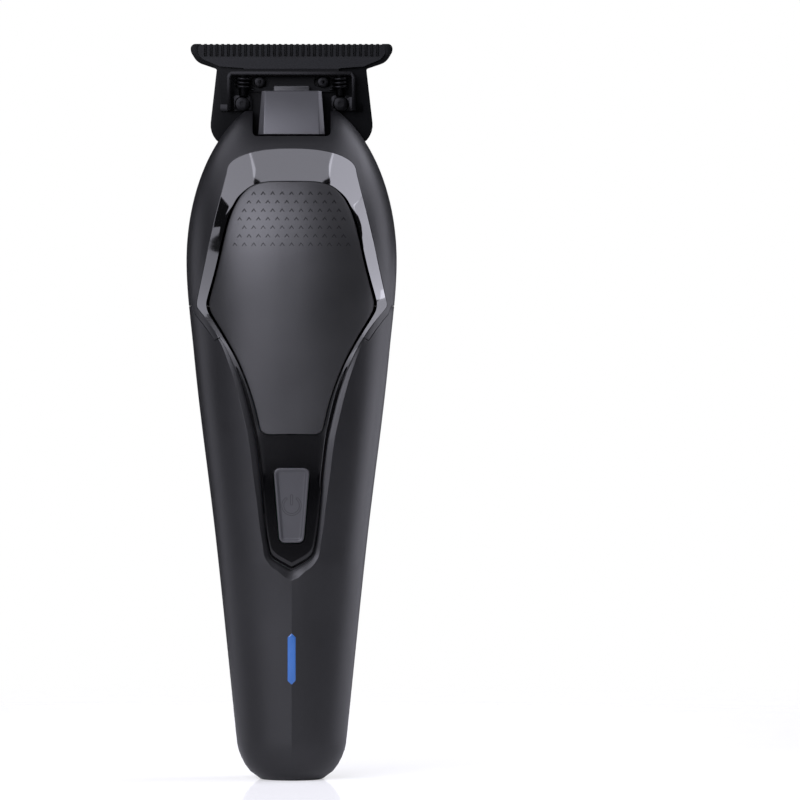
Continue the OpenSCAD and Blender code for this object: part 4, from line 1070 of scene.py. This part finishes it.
# Arrow-shaped pits in staggered rows, smaller and shallower towards the lowest row
def buildPits():
    form = pitForm
    pits = []
    for row in range(form["rows"]):
        z = form["top"] - row * form["rowPitch"]
        scale = 1 - form["fade"] * row / (form["rows"] - 1)
        half, high, stroke = form["half"], form["halfHigh"], form["stroke"] * scale
        arrow = bothSides([(0.0, high - 1.4 * stroke), (half - 0.8 * stroke, -high),
                           (half, -high + 0.3 * stroke), (0.0, high)])
        for k in range(-8, 9):
            x = (k + 0.5 * (row % 2)) * form["pitch"]
            if abs(x) > plateHalf(z) - form["margin"]:
                continue
            pit = prism(arrow, -form["most"], form["deep"] * scale)
            way = Vector((0.0, -1.0, 0.0)).rotation_difference(frontNormal(x, z)).to_matrix()
            bmesh.ops.rotate(pit, matrix=way, verts=pit.verts)
            bmesh.ops.translate(pit, vec=(x, plateY(x, z), z), verts=pit.verts)
            pits.append(pit)
    return gather(*pits)


# Faces of the pits' walls and floors, which get the darker finish that paints shade into the pits
def inPit(at, normal):
    form = pitForm
    if abs(at.z - form["fieldMiddle"]) >= form["fieldHalf"]:
        return False
    inField = abs(at.x) < plateHalf(at.z) - form["fieldMargin"]
    return inField and form["least"] < at.y - plateY(at.x, at.z) < form["most"]


def buildPlate():
    bm = gridSheet(plateColumns, len(plateRows) - 1 + plateAcross, platePoint)
    mirrorAcross(bm)
    turnOut(bm, Vector((0.0, 0.0, 90.0)))
    thicken(bm, plateForm["thick"])
    bm = combine(bm, buildPits())
    # The pits get a darker second finish, painted shade
    secondFinish(bm, inPit)
    return bm


makePiece("facePlate", buildPlate(), "gunmetal", "casing", ["face_plate"], 50.0, ["pitPaintedShade"])

button = buttonLine(0.0)
buttonHigh = buttonForm["high"] - buttonForm["low"]
buttonMiddle = (buttonForm["low"] + buttonForm["high"]) / 2
buttonFace = -frontDepth(buttonMiddle) - buttonForm["proud"]
buttonLean = -(frontDepth(buttonForm["high"]) - frontDepth(buttonForm["low"])) / buttonHigh
buttonRows = buttonForm["rows"]
dishFloor = buttonRows[-1][1]


# Point of the button at a height above the dish
def onButton(x, z, height):
    return Vector((x, buttonFace + buttonForm["dish"] + buttonLean * (z - buttonMiddle) - height, z))


def buttonPoint(i, j):
    form = buttonForm
    f = i / form["columns"]
    inset, height = buttonRows[min(j, len(buttonRows) - 1)]
    at = button.at(f) - button.normal(f) * inset
    if j >= len(buttonRows):
        middleIn = form["middleIn"]
        inner = Vector((0.0, form["low"] + middleIn + (buttonHigh - 2 * middleIn) * smooth(f)))
        at = at.lerp(inner, (j - len(buttonRows) + 1) / form["innerRows"])
    at.x = 0.0 if i in (0, form["columns"]) else max(0.0, at.x)
    return onButton(at.x, at.y, height)


def buildButton():
    form = buttonForm
    bm = gridSheet(form["columns"], len(buttonRows) - 1 + form["innerRows"], buttonPoint)
    mirrorAcross(bm)
    rim = [e for e in bm.edges if e.is_boundary]
    bmesh.ops.edgenet_fill(bm, edges=rim)
    turnOut(bm, Vector((0.0, buttonFace + 0.8, buttonMiddle)))
    stemEnd = box("power_button")[1].y - form["stemGap"]
    stem = bar(0.0, buttonMiddle, buttonFace + form["stemFrom"], stemEnd, form["stem"])
    return combine(bm, stem, "UNION")


makePiece("powerButton", buildButton(), "buttonGrey", "button", ["power_button"], 40.0)
symbolForm = {
    "middle": 59.6,
    "outer": 2.1,
    "inner": 1.68,
    "opening": 38.0,
    "barHalf": 0.24,
    "barLow": 59.75,
    "barHigh": 61.95,
    "line": 0.11,
    "thick": 0.03,
    "lift": 0.012,
}


# Thin dark line along a closed path on the floor of the dish
def buildLine(path):
    count = len(path)
    half = symbolForm["line"] / 2

    def place(i, j):
        here, ahead, behind = path[i % count], path[(i + 1) % count], path[(i - 1) % count]
        course = (Vector(ahead) - Vector(behind)).normalized()
        at = Vector(here) + Vector((course.y, -course.x)) * half * (2 * (j % 2) - 1)
        return onButton(at.x, at.y, dishFloor + symbolForm["lift"])
    bm = gridSheet(count, 1, place)
    bmesh.ops.remove_doubles(bm, verts=bm.verts, dist=0.0001)
    turnOut(bm, Vector((0.0, 0.0, symbolForm["middle"])))
    thicken(bm, symbolForm["thick"])
    return bm


def arc(x, z, radius, start, end, steps):
    turns = [start + (end - start) * k / steps for k in range(steps + 1)]
    return [(x + radius * math.cos(turn), z + radius * math.sin(turn)) for turn in turns]


# Outlines of the open ring and of the bar, both with round ends
def symbolPaths():
    form = symbolForm
    opening = math.radians(form["opening"])
    band = (form["outer"] - form["inner"]) / 2
    mid = (form["outer"] + form["inner"]) / 2
    start, end = math.pi / 2 + opening, math.pi / 2 - opening + 2 * math.pi

    def roundEnd(turn, first):
        x, z = mid * math.cos(turn), form["middle"] + mid * math.sin(turn)
        return arc(x, z, band, first, first + math.pi, 8)[1:-1]
    ring = arc(0.0, form["middle"], form["outer"], start, end, 40) + roundEnd(end, end)
    ring += arc(0.0, form["middle"], form["inner"], end, start, 40) + roundEnd(start, start + math.pi)
    half = form["barHalf"]
    stroke = arc(0.0, form["barHigh"] - half, half, 0.0, math.pi, 8)
    stroke += arc(0.0, form["barLow"] + half, half, math.pi, 2 * math.pi, 8)
    return ring, stroke


for name, path in zip(("symbolRing", "symbolBar"), symbolPaths()):
    makePiece(name, buildLine(path), "symbolDark", "button")

lensForm = {
    "length": 11.1,
    "proud": 0.12,
    "sink": 0.03,
    "thick": 1.0,
    "across": (-1.0, -0.92, -0.8, -0.4, 0.0, 0.4, 0.8, 0.92, 1.0),
    # Distances of the first rows from each end
    "endRows": (0.0, 0.35, 0.6, 0.87, 1.0),
    "rows": 16,
    "sideSoft": 0.15,
    "endSoft": 0.3,
}


def buildLens():
    form = lensForm
    low, high = box("led_lens")
    length, across, endRows = form["length"], form["across"], form["endRows"]
    span = length - 2 * endRows[-1]
    rows = list(endRows) + [endRows[-1] + span * k / form["rows"] for k in range(1, form["rows"] + 1)]
    rows += [length - reach for reach in reversed(endRows[:-1])]

    def place(i, j):
        fromEnd = min(rows[j], length - rows[j])
        width = min(high.x, fromEnd + 0.02)
        x, z = across[i] * width, low.z + rows[j]
        lift = smooth(min(1.0, (width - abs(x)) / form["sideSoft"], fromEnd / form["endSoft"]))
        return Vector((x, frontY(x, z) - form["proud"] * lift + form["sink"], z))
    bm = gridSheet(len(across) - 1, len(rows) - 1, place)
    turnOut(bm)
    thicken(bm, form["thick"])
    return bm


makePiece("lightBar", buildLens(), "blueLens", "casing", ["led_lens"], 40.0)
print("front trim ready")

bladeForm = {
    "seat": 3.0,
    "thick": 1.4,
    "tip": box("fixed_blade")[1].z,
    "foot": box("fixed_blade")[0].z,
    # Right half from the neck to the T, and the radii of its corners
    "outline": ((18.25, box("fixed_blade")[0].z), (16.3, 154.45), (20.6, 155.9), (22.0, 158.2),
                (22.0, box("fixed_blade")[1].z)),
    "radii": (4.8, 0.5, 3.4, 2.0, 1.05),
    "teeth": 32,
    "pitch": 1.25,
    "gap": 0.6,
    "deep": 2.8,
    "edge": 0.07,
    # The back is ground from this wall at the tips, at this slope
    "tipWall": 0.4,
    "slope": 4.6,
}


# Slots between the teeth, open at the tips
def toothGaps(count, top, front, back):
    half = bladeForm["gap"] / 2
    low = bladeForm["tip"] - bladeForm["deep"]
    slot = bothSides([(half / 2, low), (half, low + half / 2), (half, top + 1)])
    cuts = []
    for k in range(count):
        x = (k - (count - 1) / 2) * bladeForm["pitch"]
        cuts.append(prism([(x + p.x, p.y) for p in slot], front - 1, back + 1))
    return gather(*cuts)


def planeCut(bm, point, normal):
    bmesh.ops.bisect_plane(bm, geom=bm.verts[:] + bm.edges[:] + bm.faces[:], dist=0.0001, plane_co=point,
                           plane_no=normal, clear_outer=True)
    bmesh.ops.holes_fill(bm, edges=[e for e in bm.edges if e.is_boundary], sides=0)
    bmesh.ops.recalc_face_normals(bm, faces=bm.faces)


def buildFixedBlade():
    form = bladeForm
    back = form["seat"] + form["thick"]
    half = roundPath([(0.0, form["foot"]), *form["outline"], (0.0, form["tip"])], form["radii"], 8)
    bm = prism(bothSides(half), form["seat"], back)
    planeCut(bm, (0.0, form["seat"] + form["tipWall"], form["tip"]), (0.0, form["slope"], 1.0))
    bm = combine(bm, toothGaps(form["teeth"], form["tip"], form["seat"], back))
    bevelSharp(bm, 35, form["edge"], 2)
    return bm


makePiece("fixedBlade", buildFixedBlade(), "bladeBlack", "casing", ["fixed_blade"])
cutterForm = {
    "foot": 146.2,
    "tip": bladeForm["tip"] - 0.15,
    # Right half from the foot to the T, and the radii of its corners
    "outline": ((6.2, 146.2), (6.2, 149.4), (10.3, 149.4), (10.3, 154.5), (15.7, 154.9), (19.4, 156.5),
                (20.4, 157.7), (20.4, bladeForm["tip"] - 0.15)),
    "radii": (0.5, 0.4, 0.5, 0.4, 0.8, 1.2, 0.5, 0.8),
    # Ground front of the T, a broad band and a steeper run to the tips: height, depth there and slope
    "ground": ((154.9, 0.06, 0.13), (157.0, 0.33, 0.22)),
    "slotHalf": 2.05,
    "slotHigh": 1.05,
    "slotCorner": 1.0,
    "edge": 0.05,
}
pinForm = {
    "x": 6.9,
    "z": 151.5,
    # Front, back and radius
    "shank": (1.3, 4.35, 0.98),
    "head": (1.12, 1.8, 1.22),
    "dimple": (0.4, 1.3, 0.45),
    "edge": 0.16,
}


# Closed outline of a rectangle with round corners, started at the middle of its left side
def roundBox(left, low, right, high, radii, steps):
    start = (left, (low + high) / 2)
    corners = [start, (left, low), (right, low), (right, high), (left, high), start]
    return roundPath(corners, radii, steps)[:-1]


def buildCutter():
    form = cutterForm
    low, high = box("moving_blade")
    half = roundPath([(0.0, form["foot"]), *form["outline"], (0.0, form["tip"])], form["radii"], 5)
    bm = prism(bothSides(half), low.y, high.y)
    for z, depth, slope in form["ground"]:
        planeCut(bm, (0.0, low.y + depth, z), (0.0, -1.0, slope))
    bm = combine(bm, toothGaps(bladeForm["teeth"] - 1, form["tip"], low.y, high.y))
    slot = roundBox(-form["slotHalf"], -form["slotHigh"], form["slotHalf"], form["slotHigh"],
                    [form["slotCorner"]] * 4, 5)
    for s in (-1, 1):
        way = [(s * pinForm["x"] + p.x, pinForm["z"] + p.y) for p in slot]
        bm = combine(bm, prism(way, low.y - 1, high.y + 1))
    bevelSharp(bm, 30, form["edge"], 1)
    secondFinish(bm, lambda at, normal: at.z > form["ground"][0][0] and normal.y < -0.9)
    return bm


makePiece("movingBlade", buildCutter(), "bladeBlack", "cutter", ["moving_blade"],
          extra=["groundSteel"])


def buildPins():
    form = pinForm
    parts = []
    for x in (-form["x"], form["x"]):
        head = bar(x, form["z"], *form["head"], form["edge"], 40)
        parts.append(bar(x, form["z"], *form["shank"]))
        parts.append(combine(head, bar(x, form["z"], *form["dimple"], 0.0, 24)))
    return gather(*parts)


makePiece("guidePins", buildPins(), "screwBlack", "casing", ["guide_pins"])

blockForm = {
    "foot": box("drive_block")[0].z,
    "top": 149.2,
    "back": 1.95,
    # Half width in front, half width behind and chamfer, at the foot and at the top
    "footSize": (6.05, 7.2, 1.2),
    "topSize": (5.75, 6.5, 0.9),
    "front": box("drive_block")[0].y,
    "lean": 3.0,
    "tabHalf": 3.9,
    "tabThick": 1.7,
    "tabTop": box("drive_block")[1].z,
    "forkX": 3.65,
    "forkFront": -5.35,
    "forkBack": 0.35,
    "forkTop": 146.4,
    "edge": 0.22,
}


def blockRing(z, front, frontHalf, backHalf, chamfer):
    half = [(frontHalf, front), (backHalf, front + chamfer), (backHalf, blockForm["back"])]
    return [(x, y, z) for x, y in half] + [(-x, y, z) for x, y in reversed(half)]


def buildDriveBlock():
    form = blockForm
    bm = loft([blockRing(form["foot"], form["front"], *form["footSize"]),
               blockRing(form["top"], form["front"] + form["lean"], *form["topSize"])])
    bm = combine(bm, block((-form["forkX"], form["forkFront"], form["foot"] - 1),
                           (form["forkX"], form["forkBack"], form["forkTop"])))
    low = form["top"] - 1
    tab = roundPath([(0.0, low), (form["tabHalf"], low), (form["tabHalf"], form["tabTop"]),
                     (0.0, form["tabTop"])], (0.01, 0.35))
    bm = combine(bm, prism(bothSides(tab), form["back"] - form["tabThick"], form["back"]), "UNION")

    def inFork(v):
        return abs(v.co.x) < form["forkX"] + 0.01 and v.co.z < form["forkTop"] + 0.01
    bevelSharp(bm, 20, form["edge"], 3, lambda e: not all(inFork(v) for v in e.verts)
               and min(v.co.y for v in e.verts) < form["back"] - 0.1)
    # The tab above the block is darker
    secondFinish(bm, lambda at, normal: at.z > form["top"] + 0.03)
    return bm


makePiece("driveBlock", buildDriveBlock(), "blockGrey", "cutter", ["drive_block"], 25.0,
          ["tabGrey"])

bracketForm = {
    "half": 14.0,
    "bar": 0.9,
    "foot": 145.2,
    "top": box("spring_bracket")[1].z,
    "front": -1.0,
    "back": 1.8,
    "padHalf": 2.1,
    "padTop": 148.6,
    "padFront": 1.75,
    "padBack": 3.0,
    "screwX": 10.7,
    "screwZ": 146.7,
    # Ear that lies on the fixed blade, and the web that joins it to the leg
    "ear": (12.4, 15.5),
    "earFront": 2.2,
    "earTop": 146.65,
    "web": (12.6, 13.9),
    "webFront": 1.0,
    "postRadius": 0.95,
    "stepHalf": 0.9,
    "stepBack": 1.9,
    "edge": 0.12,
    "springX": 10.5,
    "springZ": 149.9,
    "coil": 1.5,
    "wire": 0.3,
    "turns": 3,
    "steps": 20,
    "coilPitch": 0.85,
    "arm": 2.2,
}


# Path up one leg, along the bar and down the other, drawn in by some amount
def bracketPath(inset, radius):
    half, top = bracketForm["half"] - inset, bracketForm["top"] - inset
    foot = bracketForm["foot"]
    return roundPath([(-half, foot), (-half, top), (half, top), (half, foot)], (radius, radius), 6)


def buildBracket():
    form = bracketForm
    foot, padTop = form["foot"], form["padTop"]
    frame = bracketPath(0.0, 1.3) + bracketPath(form["bar"], 0.5)[::-1]
    whole = prism(frame, form["front"], form["back"])
    corners = [(0.0, foot), (form["padHalf"], foot), (form["padHalf"], padTop), (-form["padHalf"], padTop),
               (-form["padHalf"], foot), (0.0, foot)]
    pad = roundPath(corners, (0.3, 0.9, 0.9, 0.3), 5)[:-1]
    back, webTop = form["padBack"], padTop - 0.4
    postLow, postHigh = padTop - 0.15, form["top"] - 0.35
    postMiddle, postLength = (postLow + postHigh) / 2, postHigh - postLow
    for s in (-1, 1):
        screwX, springX = s * form["screwX"], s * form["springX"]
        ear, web = (sorted((s * form[name][0], s * form[name][1])) for name in ("ear", "web"))
        for joined in (prism([(screwX + p.x, p.y) for p in pad], form["padFront"], back),
                       block((ear[0], form["earFront"], foot), (ear[1], back, form["earTop"])),
                       block((web[0], form["webFront"], foot + 0.02), (web[1], back - 0.1, webTop))):
            whole = combine(whole, joined, "UNION")
        whole = combine(whole, bar(screwX, form["screwZ"], 0.0, 4.0, 1.0))
        # Post of the spring, and the step under it
        for joined in (post((springX, 0.0, postMiddle), postLength, form["postRadius"], 24),
                       block((springX - form["stepHalf"], 0.0, postLow),
                             (springX + form["stepHalf"], form["stepBack"], padTop + 0.45))):
            whole = combine(whole, joined, "UNION")
    bevelSharp(whole, 50, form["edge"], 2)
    return whole


makePiece("springBracket", buildBracket(), "screwBlack", "casing", ["spring_bracket"])


# Round wire wound on a vertical axis, with an arm to the middle
def buildSpring(side):
    form = bracketForm
    coil, steps = form["coil"], form["steps"]
    path = [Vector((-form["arm"], coil, 0.0)), Vector((-form["arm"] / 2, coil, 0.0))]
    for k in range(steps * form["turns"] + 1):
        turn = math.pi / 2 + 2 * math.pi * k / steps
        path.append(Vector((coil * math.cos(turn), coil * math.sin(turn), k / steps * form["coilPitch"])))
    rings = []
    for k, here in enumerate(path):
        way = (path[min(k + 1, len(path) - 1)] - path[max(k - 1, 0)]).normalized()
        across = way.cross(Vector((0.0, 0.0, 1.0))).normalized()
        rise = across.cross(way)
        ring = []
        for m in range(12):
            turn = 2 * math.pi * m / 12
            at = here + (across * math.cos(turn) + rise * math.sin(turn)) * form["wire"]
            ring.append((side * (form["springX"] + at.x), at.y, form["springZ"] + at.z))
        rings.append(ring)
    return loft(rings)


makePiece("tensionSprings", gather(buildSpring(-1), buildSpring(1)), "springSteel", "casing",
          ["tension_springs"], 60.0)

# Place of the right screw; then front, back and radius of its head, hex socket and shank
screwForms = {
    "bracketScrews": (bracketForm["screwX"], bracketForm["screwZ"],
                      (0.76, 1.75, 1.68), (0.2, 1.25, 0.62), (1.76, 4.35, 0.88)),
    "bladeScrews": (11.0, 141.2, (4.42, 5.6, 1.98), (4.9, 6.4, 0.85), (-1.7, 4.41, 0.98)),
}


def buildScrews(x, z, head, socket, shank):
    parts = []
    for side in (-x, x):
        parts.append(combine(bar(side, z, *head, 0.3, 48), bar(side, z, *socket, 0.0, 6)))
        parts.append(bar(side, z, *shank))
    return gather(*parts)


makePiece("bracketScrews", buildScrews(*screwForms["bracketScrews"]), "screwBlack", "casing",
          ["bracket_screws"])
makePiece("bladeScrews", buildScrews(*screwForms["bladeScrews"]), "screwBlack", "casing",
          ["blade_screws"])
print("blade set ready")

# CAD nodes that keep their shape get their finish
finishes = {
    "innerPlastic": ["chassis", "tact_switch"],
    "softBlack": ["base_cap"],
    "rubber": ["button_seal"],
    "brass": ["dock_contacts", "motor_front_bush", "motor_rear_bush"],
    "steel": ["charge_socket", "motor_can", "motor_shaft", "cam_pin", "motor_plate", "motor_screws",
              "plate_screws", "chassis_screws", "battery_tab_top", "battery_tab_bottom"],
    "boardGreen": ["port_board", "main_board"],
    "whitePlastic": ["motor_end_bell", "pin_sleeve", "switch_plunger", "status_led", "eccentric_cam"],
    "magnet": ["motor_magnets", "motor_brushes"],
    "copper": ["armature", "commutator"],
    "wireRed": ["motor_leads"],
    "cellBlue": ["battery_cell"],
    "magnetWire": ["charge_leads"],
}
for finish, nodes in finishes.items():
    for node in nodes:
        mesh = frame["nodes"][node].data
        mesh.materials.clear()
        mesh.materials.append(materials[finish])
print("finishes set")

# Camera, lamps, world and floor are in metres
viewForm = {
    "frameWidth": 0.1739,
    "distance": 1.3,
    "middle": 0.0823,
    "lens": 200.0,
    "shift": 0.1355,
    "reach": 20.0,
}


def buildCamera():
    lens = bpy.data.cameras.new("camera")
    lens.sensor_width = viewForm["frameWidth"] / viewForm["distance"] * viewForm["lens"]
    lens.lens = viewForm["lens"]
    lens.shift_x = viewForm["shift"]
    lens.clip_end = viewForm["reach"]
    camera = addObject("camera", lens)
    camera.location = (0.0, -viewForm["distance"], viewForm["middle"])
    camera.rotation_euler = (math.pi / 2, 0.0, 0.0)
    bpy.context.scene.camera = camera


buildCamera()
# Each lamp: turn from the front and height angle in degrees, distance, width, height, watts
lampForm = {
    "leftSoftbox": (-25.0, 18.0, 0.95, 0.84, 0.56, 8.8),
    "topSoftbox": (0.0, 58.0, 0.95, 1.04, 0.28, 0.97),
    "leftCorner": (-72.0, 41.0, 0.90, 0.50, 0.50, 0.95),
    "rightCorner": (72.0, 40.0, 0.90, 0.50, 0.50, 1.6),
    "leftHigh": (-114.0, 42.0, 0.90, 0.40, 0.40, 0.8),
    "rightHigh": (114.0, 42.0, 0.90, 0.40, 0.40, 1.5),
    "rightStrip": (106.5, 4.0, 0.90, 0.55, 1.10, 3.5),
    "rightLow": (135.0, -8.0, 0.45, 0.30, 0.16, 0.14),
    "leftStrip": (-115.0, -7.0, 0.90, 0.50, 0.69, 0.81),
}
lampTint = (0.885, 0.88, 1.0)
lampAim = Vector((0.0, 0.0, 0.10))


def buildLamp(name, turn, lift, distance, width, height, watts):
    light = bpy.data.lights.new(name, "AREA")
    light.shape = "RECTANGLE"
    light.size, light.size_y = width, height
    light.energy = watts
    light.color = lampTint
    turn, lift = math.radians(turn), math.radians(lift)
    way = Vector((math.sin(turn) * math.cos(lift), -math.cos(turn) * math.cos(lift), math.sin(lift)))
    place = lampAim + way * distance
    lamp = addObject(name, light)
    lamp.location = place
    lamp.rotation_euler = (lampAim - place).to_track_quat("-Z", "Y").to_euler()


for name, settings in lampForm.items():
    buildLamp(name, *settings)


# White to the camera, and to mirror and glass rays that leave straight to the back
def buildWorld():
    world = bpy.data.worlds.new("studio")
    bpy.context.scene.world = world
    world.use_nodes = True
    tree = world.node_tree
    shade = Shade(tree)
    seen, glossy, through = (shade.node("ShaderNodeLightPath", out=out) for out in (0, 3, 6))
    way = shade.node("ShaderNodeTexCoord", out=0)
    behind = shade.node("ShaderNodeSeparateXYZ", None, {0: way}, out=1).ramp(0.985, 0.9995)
    white = shade.math("MAXIMUM", seen, shade.math("MAXIMUM", glossy, through) * behind)
    shade.feed(tree.nodes["Background"], {"Color": white.mix(rgb(0.014, 0.014, 0.0145), rgb(1, 1, 1))})


buildWorld()


floorForm = {
    "radius": 0.45,
    "fadeFrom": 0.18,
    "fadeTo": 0.44,
    "glow": 0.35,
}


# The floor fades out before its edge, and glows a little to the camera alone
def paintFloor(shade, coords):
    form = floorForm
    far = shade.node("ShaderNodeVectorMath", {"operation": "LENGTH"}, {0: coords}, out=1)
    return {
        "Base Color": rgb(0.93, 0.93, 0.93),
        "Roughness": noise(shade, coords, 40.0) * 0.02 + 0.05,
        "IOR": 1.02,
        "Emission Color": rgb(1.0, 1.0, 1.0),
        "Emission Strength": shade.node("ShaderNodeLightPath", out=0) * form["glow"],
        "Alpha": 1.0 - far.ramp(form["fadeFrom"], form["fadeTo"]),
    }


def buildFloor():
    bm = bmesh.new()
    bmesh.ops.create_circle(bm, cap_ends=True, radius=floorForm["radius"], segments=96)
    floor = addObject("floor", meshOf(bm, "floor"))
    floor.data.materials.append(makeMaterial("floorWhite", paintFloor))


buildFloor()
bpy.context.scene.view_settings.view_transform = "Standard"
print("done")
